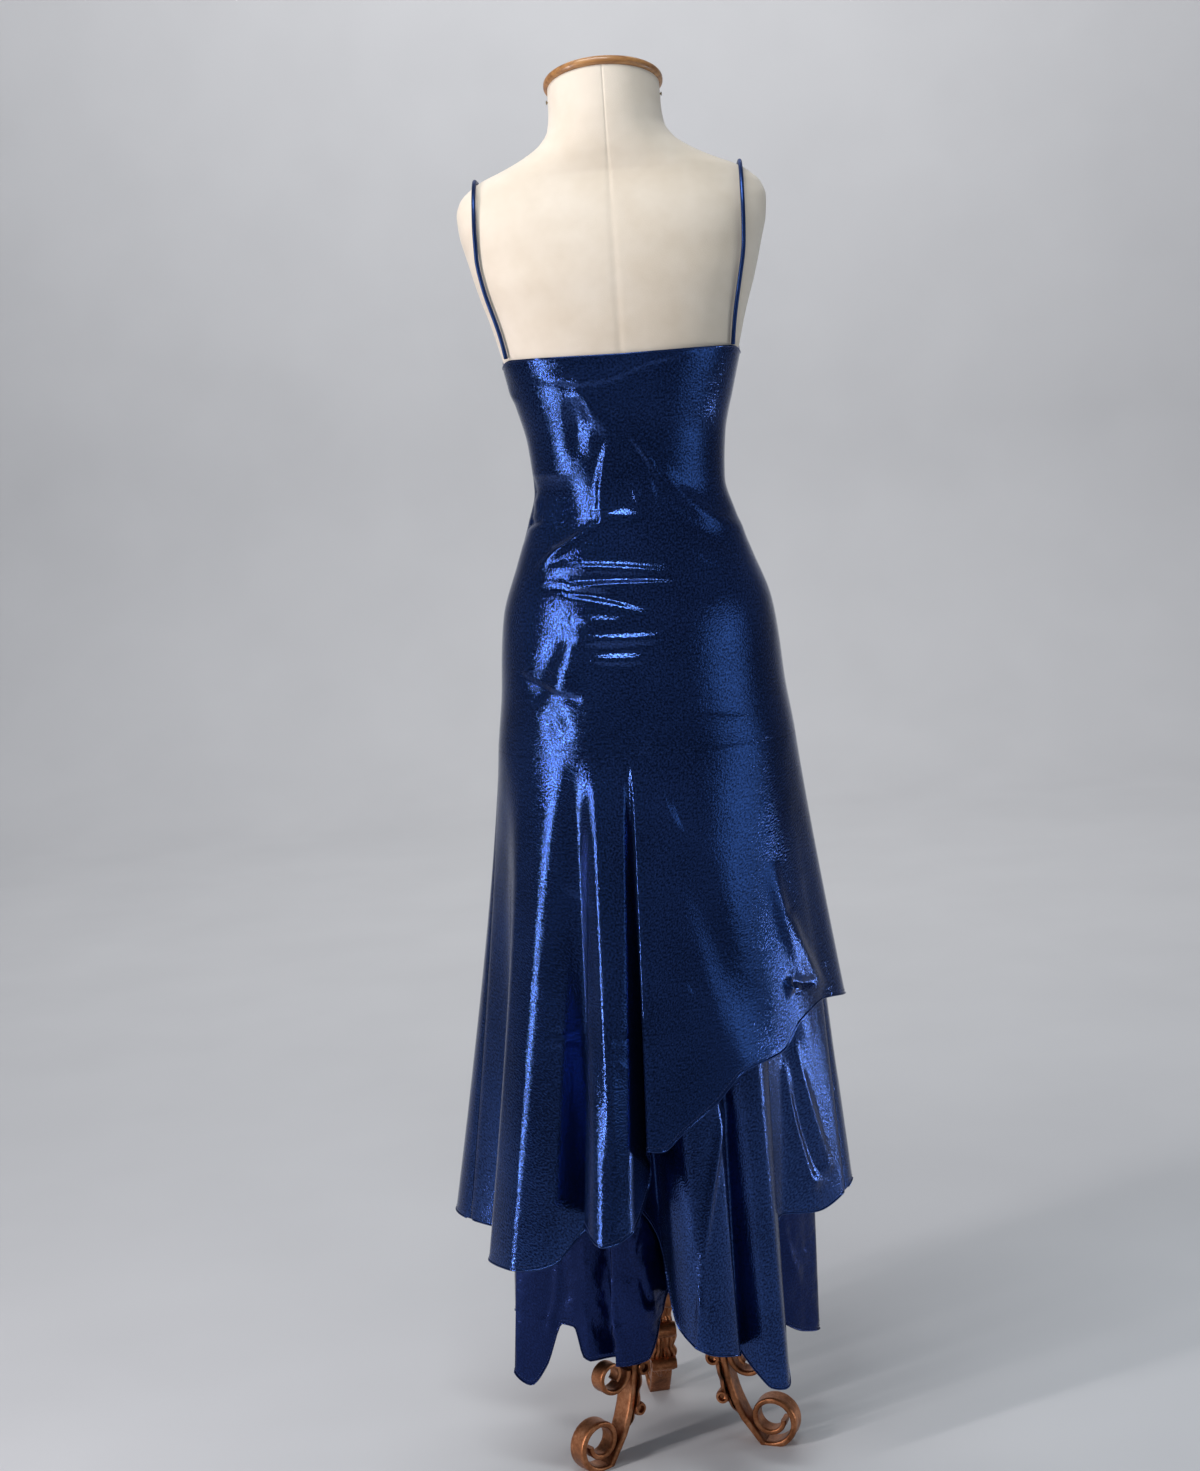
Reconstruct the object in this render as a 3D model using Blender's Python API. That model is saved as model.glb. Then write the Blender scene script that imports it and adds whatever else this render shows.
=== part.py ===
"""Evening gown on a dress form.

The gown is a narrow slip bodice with two thin straps.  From a seam round the hips hang three
layers: an upper flounce with a slanting hem, a lower flounce that slants the other way, and an
underskirt.  The form is a padded torso with a wooden neck cap on a cast stand with three scroll
legs.  Units are metres, +Z is up, the gown's back looks along -Y and the wearer's right is +X.
Angles go round the body in degrees: 0 is the middle of the back, 90 the right side, 180 the front.
"""
import math
from collections import namedtuple

import bpy
import bmesh
from mathutils import Vector

# ------------------------------------------------------------------ driving sizes
WALL = 0.0012            # thickness of the satin, hem turnings taken together
SEAM_GAP = 0.0003        # space between two pieces at a seam
SHARP_ANGLE = 40.0
FORM_INSET = 0.0032      # the form's surface lies this far inside the gown's outer face
LAYER_GAP = 0.0075       # least space from one skirt layer to the layer round it

HIP_SEAM = 0.910         # height of the seam that carries the three skirt layers
FORM_BASE = 0.935        # underside of the padded torso
SIDE_TRIM = 0.08         # degrees left free on each side of a side seam
STOP_CLEARANCE = 4.0     # no ridge or valley is read nearer to a side seam, in degrees

# rings that the bodice and the form share, so that the one lies evenly on the other
COVERED_HEIGHTS = (FORM_BASE, 0.985, 1.040, 1.090, 1.140, 1.180, 1.222, 1.275, 1.345)
EDGE_HEIGHTS = (1.365, 1.385, 1.403)     # the form's rings near the gown's top edge
FORM_SIDES = 32

BUST_HEIGHT = 1.385      # height of the fullest line of the bust
BUST_ACROSS = 0.066      # half the distance between the bust points
BUST_DEPTH = 0.020       # how far the bust stands out from the front
BUST_SPREAD = 0.046
BUST_SPREAD_UP = 0.053
BUST_FADE = 1.6          # how soon the bust's fullness is complete, from the side round to the front

STRAP_RADIUS = 0.0023
STRAP_LIFT = 0.0048      # from the form's surface to the middle of the strap
STRAP_PIVOT = 1.450      # height of the point that the strap is measured round
STRAP_STEPS = 27
STRAP_SIDES = 6
FORM_REACH = 0.30        # farther from the strap pivot than any point of the form
HALVINGS = 30            # of that distance, to find the form's surface
STRAP_END = 0.3          # share of its radius by which a strap's end stays above the edge

CAP_THICK = 0.010
CAP_EDGE = 0.0025        # rounding of the cap's rim
CAP_TILT = 16.0          # the cap is higher at the back

STAND_X = -0.020         # the stand's axis, seen from the middle of the gown
STAND_Y = 0.000
POLE_RADIUS = 0.0125
FLARE_RADIUS = 0.01875   # where the pole spreads into the flange
FLARE_HEIGHT = 0.020
FLANGE_RADIUS = 0.055
FLANGE_THICK = 0.008
POLE_FOOT = 0.330
LEG_AZIMUTHS = (-20.0, 100.0, 220.0)      # counter-clockwise from +X
LEG_WIDTH = 0.032        # of the cast bar, across the leg's own plane
LEG_THICK = 0.0105
FOOT_TIP_THICK = 0.0068
SCROLL_THICK = 0.0073
SCROLL_TIP_THICK = 0.0052
SCROLL_WIDTH = 0.0256
LEG_TAPER = 0.35         # share of its width that a cast bar loses along its length
BAR_OUTLINE = ((-1.0, -0.55), (-1.0, 0.55), (-0.6, 1.0), (0.6, 1.0), (1.0, 0.55), (1.0, -0.55),
               (0.6, -1.0), (-0.6, -1.0))
FOOT_CENTRE = (0.132, 0.0345)            # middle of the foot scroll: out from the axis, up
FOOT_RADIUS = 0.0360
FOOT_TURNS = 1.30
FOOT_SHRINK = 0.52       # radius left after one turn

Section = namedtuple("Section", "height half_width back front square tilt")
BODY = (
    # the gown's outer face up to the neckline, then the form's
    Section(0.910, 0.1835, 0.136, 0.112, 2.0, 0.0),
    Section(0.935, 0.1800, 0.136, 0.110, 2.0, 0.0),
    Section(0.975, 0.1745, 0.135, 0.107, 2.0, 0.0),
    Section(1.030, 0.1700, 0.131, 0.105, 2.0, 0.0),
    Section(1.074, 0.1640, 0.122, 0.102, 2.0, 0.0),
    Section(1.135, 0.1430, 0.100, 0.096, 2.0, 0.0),
    Section(1.185, 0.1255, 0.085, 0.091, 2.0, 0.0),
    Section(1.222, 0.1160, 0.080, 0.088, 2.0, 0.0),
    Section(1.275, 0.1195, 0.084, 0.094, 2.1, 0.0),
    Section(1.330, 0.1325, 0.092, 0.104, 2.2, 0.0),
    Section(1.376, 0.1445, 0.097, 0.107, 2.3, 0.0),
    Section(1.420, 0.1560, 0.101, 0.103, 2.3, 0.0),
    Section(1.458, 0.1680, 0.102, 0.095, 2.3, 0.0),
    Section(1.500, 0.1790, 0.098, 0.083, 2.2, 0.0),
    Section(1.530, 0.1860, 0.090, 0.072, 2.2, 0.0),
    Section(1.551, 0.1875, 0.082, 0.064, 2.1, 0.0),
    Section(1.568, 0.1820, 0.074, 0.058, 2.0, 0.0),
    Section(1.580, 0.1700, 0.069, 0.054, 2.0, 0.0),
    Section(1.589, 0.1560, 0.067, 0.052, 2.0, 0.0),
    Section(1.599, 0.1320, 0.067, 0.051, 2.0, 0.0),
    Section(1.611, 0.1060, 0.068, 0.052, 2.0, 2.0),
    Section(1.625, 0.0840, 0.068, 0.054, 2.0, 6.0),
    Section(1.641, 0.0730, 0.068, 0.056, 2.0, 10.0),
    Section(1.662, 0.0700, 0.066, 0.058, 2.0, 13.0),
    Section(1.688, 0.0695, 0.064, 0.060, 2.0, CAP_TILT),
)

Edge = namedtuple("Edge", "angle height")
NECKLINE = (
    # the top edge: straight across the back, a little higher where the straps leave the front
    Edge(0.0, 1.376),
    Edge(62.0, 1.378),
    Edge(90.0, 1.370),
    Edge(112.0, 1.396),
    Edge(141.0, 1.440),
    Edge(180.0, 1.414),
)

StrapRow = namedtuple("StrapRow", "turn across")
STRAP_RIGHT = (
    # turn goes from straight back, over the shoulder, to straight forward
    StrapRow(-66.0, 0.1265),
    StrapRow(5.0, 0.1410),
    StrapRow(45.0, 0.1490),
    StrapRow(90.0, 0.1525),
    StrapRow(130.0, 0.1400),
    StrapRow(190.0, 0.1040),
)
STRAP_LEFT = (
    StrapRow(-66.0, 0.1290),
    StrapRow(-15.0, 0.1450),
    StrapRow(20.0, 0.1530),
    StrapRow(55.0, 0.1585),
    StrapRow(90.0, 0.1560),
    StrapRow(130.0, 0.1430),
    StrapRow(190.0, 0.1040),
)

Fold = namedtuple("Fold", "angle reach hem")
UPPER_FLOUNCE = (
    # ridges and valleys round the hem: how far out they reach, and the hem's height there
    Fold(-178.0, 0.246, 0.400),
    Fold(-159.0, 0.190, 0.362),
    Fold(-139.0, 0.262, 0.330),
    Fold(-118.0, 0.205, 0.310),
    Fold(-98.0, 0.289, 0.306),
    Fold(-76.0, 0.212, 0.300),
    Fold(-61.0, 0.266, 0.298),
    Fold(-52.0, 0.264, 0.300),
    Fold(-46.0, 0.248, 0.301),
    Fold(-42.0, 0.226, 0.306),
    Fold(-39.0, 0.190, 0.332),
    Fold(-36.0, 0.170, 0.346),
    Fold(-28.0, 0.236, 0.366),
    Fold(-20.0, 0.262, 0.354),
    Fold(-13.5, 0.240, 0.363),
    Fold(-10.4, 0.162, 0.408),
    Fold(-7.8, 0.226, 0.459),
    Fold(-3.5, 0.221, 0.456),
    Fold(3.0, 0.215, 0.474),
    Fold(14.0, 0.206, 0.500),
    Fold(27.0, 0.203, 0.536),
    Fold(44.0, 0.199, 0.545),
    Fold(55.0, 0.200, 0.574),
    Fold(70.0, 0.205, 0.584),
    Fold(87.0, 0.227, 0.574),
    Fold(106.0, 0.192, 0.560),
    Fold(124.0, 0.226, 0.536),
    Fold(143.0, 0.184, 0.494),
    Fold(162.0, 0.232, 0.448),
)
LOWER_FLOUNCE = (
    Fold(-160.0, 0.165, 0.385),
    Fold(-139.0, 0.232, 0.400),
    Fold(-118.0, 0.180, 0.410),
    Fold(-98.0, 0.245, 0.420),
    Fold(-76.0, 0.190, 0.425),
    Fold(-56.0, 0.240, 0.425),
    Fold(-37.0, 0.150, 0.420),
    Fold(-22.0, 0.205, 0.405),
    Fold(-11.5, 0.118, 0.300),
    Fold(-3.0, 0.160, 0.212),
    Fold(8.0, 0.194, 0.190),
    Fold(20.0, 0.182, 0.177),
    Fold(27.0, 0.138, 0.165),
    Fold(30.5, 0.158, 0.142),
    Fold(34.5, 0.178, 0.121),
    Fold(40.0, 0.184, 0.117),
    Fold(47.0, 0.170, 0.119),
    Fold(55.0, 0.140, 0.275),
    Fold(64.0, 0.142, 0.308),
    Fold(80.0, 0.184, 0.300),
    Fold(98.0, 0.229, 0.320),
    Fold(118.0, 0.160, 0.320),
    Fold(139.0, 0.210, 0.315),
    Fold(159.0, 0.158, 0.335),
    Fold(179.0, 0.212, 0.365),
)
UNDERSKIRT = (
    Fold(-160.0, 0.140, 0.205),
    Fold(-138.0, 0.200, 0.190),
    Fold(-116.0, 0.155, 0.180),
    Fold(-96.0, 0.220, 0.170),
    Fold(-80.0, 0.206, 0.196),
    Fold(-72.0, 0.240, 0.176),
    Fold(-65.5, 0.238, 0.140),
    Fold(-61.0, 0.224, 0.126),
    Fold(-57.5, 0.208, 0.150),
    Fold(-53.0, 0.190, 0.206),
    Fold(-48.5, 0.182, 0.204),
    Fold(-45.5, 0.178, 0.165),
    Fold(-41.0, 0.172, 0.160),
    Fold(-31.0, 0.163, 0.158),
    Fold(-20.0, 0.144, 0.162),
    Fold(-10.0, 0.104, 0.235),
    Fold(4.0, 0.145, 0.215),
    Fold(20.0, 0.118, 0.200),
    Fold(38.0, 0.150, 0.190),
    Fold(60.0, 0.115, 0.180),
    Fold(80.0, 0.152, 0.138),
    Fold(89.0, 0.172, 0.130),
    Fold(98.0, 0.171, 0.166),
    Fold(106.0, 0.160, 0.196),
    Fold(118.0, 0.138, 0.175),
    Fold(140.0, 0.185, 0.195),
    Fold(161.0, 0.140, 0.200),
    Fold(180.0, 0.188, 0.205),
)
FOLD_GROWTH = 1.12       # folds grow a little faster than the distance below the seam
SKIRT_LEVELS = (0.0, 0.10, 0.26, 0.45, 0.64, 0.83, 1.0)
COLUMNS_PER_FOLD = {"back": 3, "front": 2}

LegRow = namedtuple("LegRow", "out up")
LEG_LINE = (
    # middle line of the cast bar, from the hub down to where the foot scroll begins
    LegRow(0.0262, 0.2552),
    LegRow(0.0480, 0.2600),
    LegRow(0.0640, 0.2440),
    LegRow(0.0690, 0.2100),
    LegRow(0.0680, 0.1700),
    LegRow(0.0720, 0.1200),
    LegRow(0.0820, 0.0680),
    LegRow(0.1000, 0.0240),
)
SCROLL_CENTRE = (0.1060, 0.1135)         # middle of the second scroll, above the foot
SCROLL_RADIUS = 0.0245
SCROLL_TURNS = 1.15
SCROLL_START = 178.0     # where it leaves the leg, counter-clockwise from outwards
SCROLL_SHRINK = 0.50     # share of its radius that is left after one turn
SCROLL_STEPS = 14
FOOT_START = 250.0
FOOT_STEPS = 19
ROUND_SIDES = 20         # sides of the pole and the hub

Turned = namedtuple("Turned", "radius height")
HUB = (
    Turned(0.0060, 0.1700),
    Turned(0.0120, 0.1760),
    Turned(0.0150, 0.1900),
    Turned(0.0090, 0.2040),
    Turned(0.0170, 0.2160),
    Turned(0.0245, 0.2300),
    Turned(0.0245, 0.2780),
    Turned(0.0170, 0.2920),
    Turned(0.0210, 0.3050),
    Turned(0.0190, 0.3200),
    Turned(0.0150, 0.3297),
)


# ------------------------------------------------------------------ materials
Finish = namedtuple("Finish", "colour roughness metallic")
FINISHES = {
    "satin": Finish((0.010, 0.030, 0.200), 0.30, 0.55),
    "lining_satin": Finish((0.008, 0.022, 0.120), 0.42, 0.35),
    "jersey": Finish((0.800, 0.720, 0.580), 0.92, 0.00),
    "cap_wood": Finish((0.420, 0.190, 0.060), 0.45, 0.00),
    "cast_bronze": Finish((0.300, 0.105, 0.040), 0.40, 0.85),
}


def finish(name):
    """One Principled material for each finish, made when it is first asked for."""
    known = bpy.data.materials.get(name)
    if known:
        return known
    row = FINISHES[name]
    material = bpy.data.materials.new(name)
    material.use_nodes = True
    shader = material.node_tree.nodes["Principled BSDF"]
    shader.inputs["Base Color"].default_value = (*row.colour, 1.0)
    shader.inputs["Roughness"].default_value = row.roughness
    shader.inputs["Metallic"].default_value = row.metallic
    return material


# ------------------------------------------------------------------ curves through tables
def hermite(xs, ys, x):
    """Read a smooth curve through rows, with no overshoot past a ridge or a valley."""
    last = len(xs) - 1
    slopes = [(ys[i + 1] - ys[i]) / (xs[i + 1] - xs[i]) for i in range(last)]
    span = max(i for i in range(last) if i == 0 or xs[i] <= x)

    def tangent(i):
        if i == 0:
            return slopes[0]
        if i == last:
            return slopes[-1]
        before, after = slopes[i - 1], slopes[i]
        if before * after <= 0.0:
            return 0.0
        return 2.0 * before * after / (before + after)

    width = xs[span + 1] - xs[span]
    s = min(max((x - xs[span]) / width, 0.0), 1.0)
    start, end = ys[span], ys[span + 1]
    rise, fall = tangent(span) * width, tangent(span + 1) * width
    return (start * (1 + 2 * s) * (1 - s) ** 2 + rise * s * (1 - s) ** 2
            + end * s * s * (3 - 2 * s) + fall * s * s * (s - 1))


def section_at(height):
    """The body's section at a height, each column read from the table."""
    heights = [row.height for row in BODY]
    columns = zip(*BODY)
    return Section(*(hermite(heights, column, height) for column in columns))


def round_table(rows, column, angle):
    """Read a column of a table that closes on itself round the body."""
    angles = [row.angle for row in rows]
    values = [getattr(row, column) for row in rows]
    angle = (angle - angles[0]) % 360.0 + angles[0]
    count = 2
    angles = [a - 360.0 for a in angles[-count:]] + angles + [a + 360.0 for a in angles[:count]]
    values = values[-count:] + values + values[:count]
    return hermite(angles, values, angle)


def neckline_height(angle):
    """Height of the gown's top edge, the same on the left as on the right."""
    turned = abs((angle + 180.0) % 360.0 - 180.0)
    return hermite([e.angle for e in NECKLINE], [e.height for e in NECKLINE], turned)


# ------------------------------------------------------------------ the body's surface
def bust(across, height):
    """Soft fullness on each side of the front."""
    sideways = (abs(across) - BUST_ACROSS) / BUST_SPREAD
    upwards = (height - BUST_HEIGHT) / BUST_SPREAD_UP
    return BUST_DEPTH * math.exp(-sideways * sideways - upwards * upwards)


def body_point(angle, height, inset=0.0):
    """A point on the gown's outer face, or that far inside it."""
    row = section_at(height)
    turn = math.radians(angle)
    sine, cosine = math.sin(turn), math.cos(turn)
    power = 2.0 / row.square
    depth = row.back if cosine > 0.0 else row.front
    across = (row.half_width - inset) * math.copysign(abs(sine) ** power, sine)
    along = -(depth - inset) * math.copysign(abs(cosine) ** power, cosine)
    if cosine < 0.0:
        along += bust(across, height) * min(1.0, -cosine * BUST_FADE)
    rise = -along * math.tan(math.radians(row.tilt))
    return Vector((across, along, height + rise))


def hip_reach(angle):
    """Distance from the axis to the hip seam, straight out at an angle."""
    row = BODY[0]
    turn = math.radians(angle)
    depth = row.back if math.cos(turn) > 0.0 else row.front
    return 1.0 / math.hypot(math.sin(turn) / row.half_width, math.cos(turn) / depth)


def tier_reach(rows, angle, height):
    """How far out a skirt layer stands at an angle and a height, before it is nested."""
    hem = round_table(rows, "hem", angle)
    down = (HIP_SEAM - height) / (HIP_SEAM - hem)
    start = hip_reach(angle)
    return start + (round_table(rows, "reach", angle) - start) * max(down, 0.0) ** FOLD_GROWTH


def nested_reach(tiers, angle, height):
    """The last tier of the list, held inside each of the tiers that hang round it."""
    reach = tier_reach(tiers[0], angle, height)
    for rows in tiers[1:]:
        reach = min(tier_reach(rows, angle, height), reach - LAYER_GAP)
    return reach


def tier_point(tiers, angle, level):
    """A point on the outer face of the last tier of the list; level 0 is the seam, 1 the hem."""
    hem = round_table(tiers[-1], "hem", angle)
    top = HIP_SEAM - SEAM_GAP
    height = top + (hem - top) * level
    reach = nested_reach(tiers, angle, height)
    turn = math.radians(angle)
    return Vector((reach * math.sin(turn), -reach * math.cos(turn), height))


# ------------------------------------------------------------------ solids
def add_object(name, mesh_builder, material_name):
    """Turn a bmesh into a named object with its own finish."""
    bmesh.ops.recalc_face_normals(mesh_builder, faces=mesh_builder.faces)
    mesh = bpy.data.meshes.new(name)
    mesh_builder.to_mesh(mesh)
    mesh_builder.free()
    mesh.materials.append(finish(material_name))
    mesh.shade_smooth()
    mesh.set_sharp_from_angle(angle=math.radians(SHARP_ANGLE))
    piece = bpy.data.objects.new(name, mesh)
    bpy.context.scene.collection.objects.link(piece)
    return piece


def cloth_panel(name, surface, across_stops, level_stops, material_name):
    """A cloth wall: an outer face from surface(across, level) and an inner face WALL behind it."""
    step = 0.4
    outer = [[surface(a, v) for a in across_stops] for v in level_stops]
    rows, columns = len(outer), len(outer[0])
    inner = []
    for v in level_stops:
        line = []
        for a in across_stops:
            sideways = surface(a + step, v) - surface(a - step, v)
            outwards = Vector((-sideways.y, sideways.x, 0.0)).normalized()
            here = surface(a, v)
            if outwards.x * here.x + outwards.y * here.y < 0.0:
                outwards = -outwards
            line.append(here - outwards * WALL)
        inner.append(line)
    builder = bmesh.new()
    front = [[builder.verts.new(p) for p in line] for line in outer]
    back = [[builder.verts.new(p) for p in line] for line in inner]
    for i in range(rows - 1):
        for j in range(columns - 1):
            builder.faces.new((front[i][j], front[i][j + 1], front[i + 1][j + 1], front[i + 1][j]))
            builder.faces.new((back[i][j], back[i + 1][j], back[i + 1][j + 1], back[i][j + 1]))
    edge = ([(0, j) for j in range(columns)]
            + [(i, columns - 1) for i in range(1, rows)]
            + [(rows - 1, j) for j in range(columns - 2, -1, -1)]
            + [(i, 0) for i in range(rows - 2, 0, -1)])
    for here, there in zip(edge, edge[1:] + edge[:1]):
        corners = (front[here[0]][here[1]], back[here[0]][here[1]],
                   back[there[0]][there[1]], front[there[0]][there[1]])
        builder.faces.new(corners)
    return add_object(name, builder, material_name)


def ringed_solid(name, rings, material_name):
    """A closed solid through rings of points, with a flat face at each end."""
    builder = bmesh.new()
    loops = [[builder.verts.new(p) for p in ring] for ring in rings]
    for low, high in zip(loops, loops[1:]):
        for k in range(len(low)):
            after = (k + 1) % len(low)
            builder.faces.new((low[k], low[after], high[after], high[k]))
    builder.faces.new(loops[0])
    builder.faces.new(loops[-1])
    return add_object(name, builder, material_name)


def circle(centre, radius, height, sides):
    """A level ring of points."""
    turns = [2.0 * math.pi * k / sides for k in range(sides)]
    return [Vector((centre[0] + radius * math.cos(t), centre[1] + radius * math.sin(t), height))
            for t in turns]


def swept_tube(name, path, radius, sides, material_name):
    """A round tube along a path of points."""
    rings = []
    for k, point in enumerate(path):
        along = (path[min(k + 1, len(path) - 1)] - path[max(k - 1, 0)]).normalized()
        side = along.cross(Vector((1.0, 0.0, 0.0))).normalized()
        other = along.cross(side)
        turns = [2.0 * math.pi * s / sides for s in range(sides)]
        rings.append([point + side * radius * math.cos(t) + other * radius * math.sin(t) for t in turns])
    return ringed_solid(name, rings, material_name)


def cast_bar(name, line, azimuth, thick_start, thick_end, width, material_name):
    """A cast bar with softened corners that follows a line in an upright plane of the stand."""
    turn = math.radians(azimuth)
    outwards = Vector((math.cos(turn), math.sin(turn), 0.0))
    sideways = Vector((-math.sin(turn), math.cos(turn), 0.0))
    axis = Vector((STAND_X, STAND_Y, 0.0))
    places = [axis + outwards * p[0] + Vector((0.0, 0.0, p[1])) for p in line]
    rings = []
    for k, place in enumerate(places):
        along = (places[min(k + 1, len(places) - 1)] - places[max(k - 1, 0)]).normalized()
        across = along.cross(sideways).normalized()
        share = k / (len(places) - 1)
        half_thick = 0.5 * (thick_start + (thick_end - thick_start) * share)
        half_width = 0.5 * width * (1.0 - LEG_TAPER * share)
        ring = [place + sideways * (u * half_width) + across * (v * half_thick) for u, v in BAR_OUTLINE]
        for point in ring:
            point.z = max(point.z, 0.0)
        rings.append(ring)
    return ringed_solid(name, rings, material_name)


def scroll_line(centre, radius, start, turns, shrink, steps):
    """A spiral that winds inwards, counter-clockwise as seen with the stand's axis on the left."""
    points = []
    for k in range(steps + 1):
        wound = turns * k / steps
        reach = radius * shrink ** wound
        angle = math.radians(start + 360.0 * wound)
        points.append((centre[0] + reach * math.cos(angle), centre[1] + reach * math.sin(angle)))
    return points


# ------------------------------------------------------------------ build
def clear_scene():
    for old in list(bpy.data.objects):
        bpy.data.objects.remove(old, do_unlink=True)


def panel_stops(start, end, count):
    """Evenly spaced angles across a panel, drawn in by half a seam gap at each side."""
    first, last = start + SIDE_TRIM, end - SIDE_TRIM
    return [first + (last - first) * k / count for k in range(count + 1)]


def build_bodice():
    shoulder = COVERED_HEIGHTS[-1]

    def surface(angle, height):
        if height > shoulder:
            height = shoulder + (neckline_height(angle) - shoulder) * (height - shoulder)
        return body_point(angle, height)

    levels = [HIP_SEAM, *COVERED_HEIGHTS] + [shoulder + k / 4.0 for k in (1, 2, 3, 4)]
    cloth_panel("back_bodice", surface, panel_stops(-90.0, 90.0, 22), levels, "satin")
    cloth_panel("front_bodice", surface, panel_stops(90.0, 270.0, 26), levels, "satin")


def tier_stops(rows, start, end, columns):
    """Angles for a tier panel: every ridge and valley, and a few stops between them."""
    angles = sorted({(row.angle - start) % 360.0 + start for row in rows})
    inside = [a for a in angles if start + STOP_CLEARANCE < a < end - STOP_CLEARANCE]
    marks = [start + SIDE_TRIM] + inside + [end - SIDE_TRIM]
    stops = []
    for here, there in zip(marks, marks[1:]):
        stops += [here + (there - here) * k / columns for k in range(columns)]
    return stops + [marks[-1]]


def build_skirt():
    nesting = (
        ("upper_flounce", (UPPER_FLOUNCE,), "satin"),
        ("lower_flounce", (UPPER_FLOUNCE, LOWER_FLOUNCE), "satin"),
        ("underskirt", (UPPER_FLOUNCE, LOWER_FLOUNCE, UNDERSKIRT), "lining_satin"),
    )
    for name, tiers, material_name in nesting:
        for side, start in (("back", -90.0), ("front", 90.0)):
            def surface(angle, level, tiers=tiers):
                return tier_point(tiers, angle, level)
            stops = tier_stops(tiers[-1], start, start + 180.0, COLUMNS_PER_FOLD[side])
            cloth_panel(name + "_" + side, surface, stops, SKIRT_LEVELS, material_name)


def form_depth(point):
    """Below 1 inside the padded torso and above 1 outside it, tilt left aside."""
    row = section_at(point.z)
    depth = row.back if point.y < 0.0 else row.front
    if point.y > 0.0:
        depth += bust(point.x, point.z)
    across = abs(point.x) / (row.half_width - FORM_INSET)
    along = abs(point.y) / (depth - FORM_INSET)
    return across ** row.square + along ** row.square


def form_normal(point):
    """The direction straight out of the padded torso."""
    step = 0.001
    ways = (Vector((step, 0.0, 0.0)), Vector((0.0, step, 0.0)), Vector((0.0, 0.0, step)))
    return Vector([form_depth(point + w) - form_depth(point - w) for w in ways]).normalized()


def strap_path(rows, side):
    """The strap's middle line: it lies just off the form, from the back edge to the front edge."""
    turns = [row.turn for row in rows]
    path = []
    for k in range(STRAP_STEPS + 1):
        turn = turns[0] + (turns[-1] - turns[0]) * k / STRAP_STEPS
        across = hermite(turns, [row.across for row in rows], turn)
        ray = Vector((0.0, -math.cos(math.radians(turn)), math.sin(math.radians(turn))))
        start = Vector((side * across, 0.0, STRAP_PIVOT))
        near, far = 0.0, FORM_REACH
        for _ in range(HALVINGS):
            middle = 0.5 * (near + far)
            if form_depth(start + ray * middle) < 1.0:
                near = middle
            else:
                far = middle
        surface = start + ray * far
        path.append(surface + form_normal(surface) * STRAP_LIFT)
    return trimmed_to_edges(path)


def height_above_edge(point):
    """How far a point of a strap is above the gown's top edge, less the seam gap."""
    row = section_at(point.z)
    depth = row.back if point.y < 0.0 else row.front
    power = row.square / 2.0
    sine = (abs(point.x) / row.half_width) ** power
    cosine = (abs(point.y) / depth) ** power
    angle = math.degrees(math.atan2(sine, cosine))
    if point.y > 0.0:
        angle = 180.0 - angle
    return point.z - neckline_height(angle) - SEAM_GAP - STRAP_RADIUS * STRAP_END


def trimmed_to_edges(path):
    """Cut a strap where it meets the gown's top edge at the back and at the front."""
    clear = [height_above_edge(point) for point in path]
    first = next(k for k, rise in enumerate(clear) if rise > 0.0)
    last = len(path) - 1 - next(k for k, rise in enumerate(reversed(clear)) if rise > 0.0)

    def crossing(inside, outside):
        share = clear[inside] / (clear[inside] - clear[outside])
        return path[inside].lerp(path[outside], share)

    return [crossing(first, first - 1), *path[first:last + 1], crossing(last, last + 1)]


def build_straps():
    swept_tube("strap_right", strap_path(STRAP_RIGHT, 1.0), STRAP_RADIUS, STRAP_SIDES, "satin")
    swept_tube("strap_left", strap_path(STRAP_LEFT, -1.0), STRAP_RADIUS, STRAP_SIDES, "satin")


def build_form():
    heights = [*COVERED_HEIGHTS, *EDGE_HEIGHTS]
    heights += [row.height for row in BODY if row.height > EDGE_HEIGHTS[-1]]
    rings = []
    for height in heights:
        angles = [360.0 * k / FORM_SIDES for k in range(FORM_SIDES)]
        rings.append([body_point(a, height, FORM_INSET) for a in angles])
    ringed_solid("torso_form", rings, "jersey")


def build_cap():
    sides = 48
    top = BODY[-1]
    rings = []
    profile = ((CAP_EDGE, 0.0), (0.0, CAP_EDGE), (0.0, CAP_THICK - CAP_EDGE), (CAP_EDGE, CAP_THICK))
    lean = math.radians(CAP_TILT)
    for inset, rise in profile:
        ring = []
        for k in range(sides):
            foot = body_point(360.0 * k / sides, top.height, inset)
            lift = rise + SEAM_GAP
            ring.append(foot + Vector((0.0, math.sin(lean), math.cos(lean))) * lift)
        rings.append(ring)
    ringed_solid("neck_cap", rings, "cap_wood")


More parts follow.
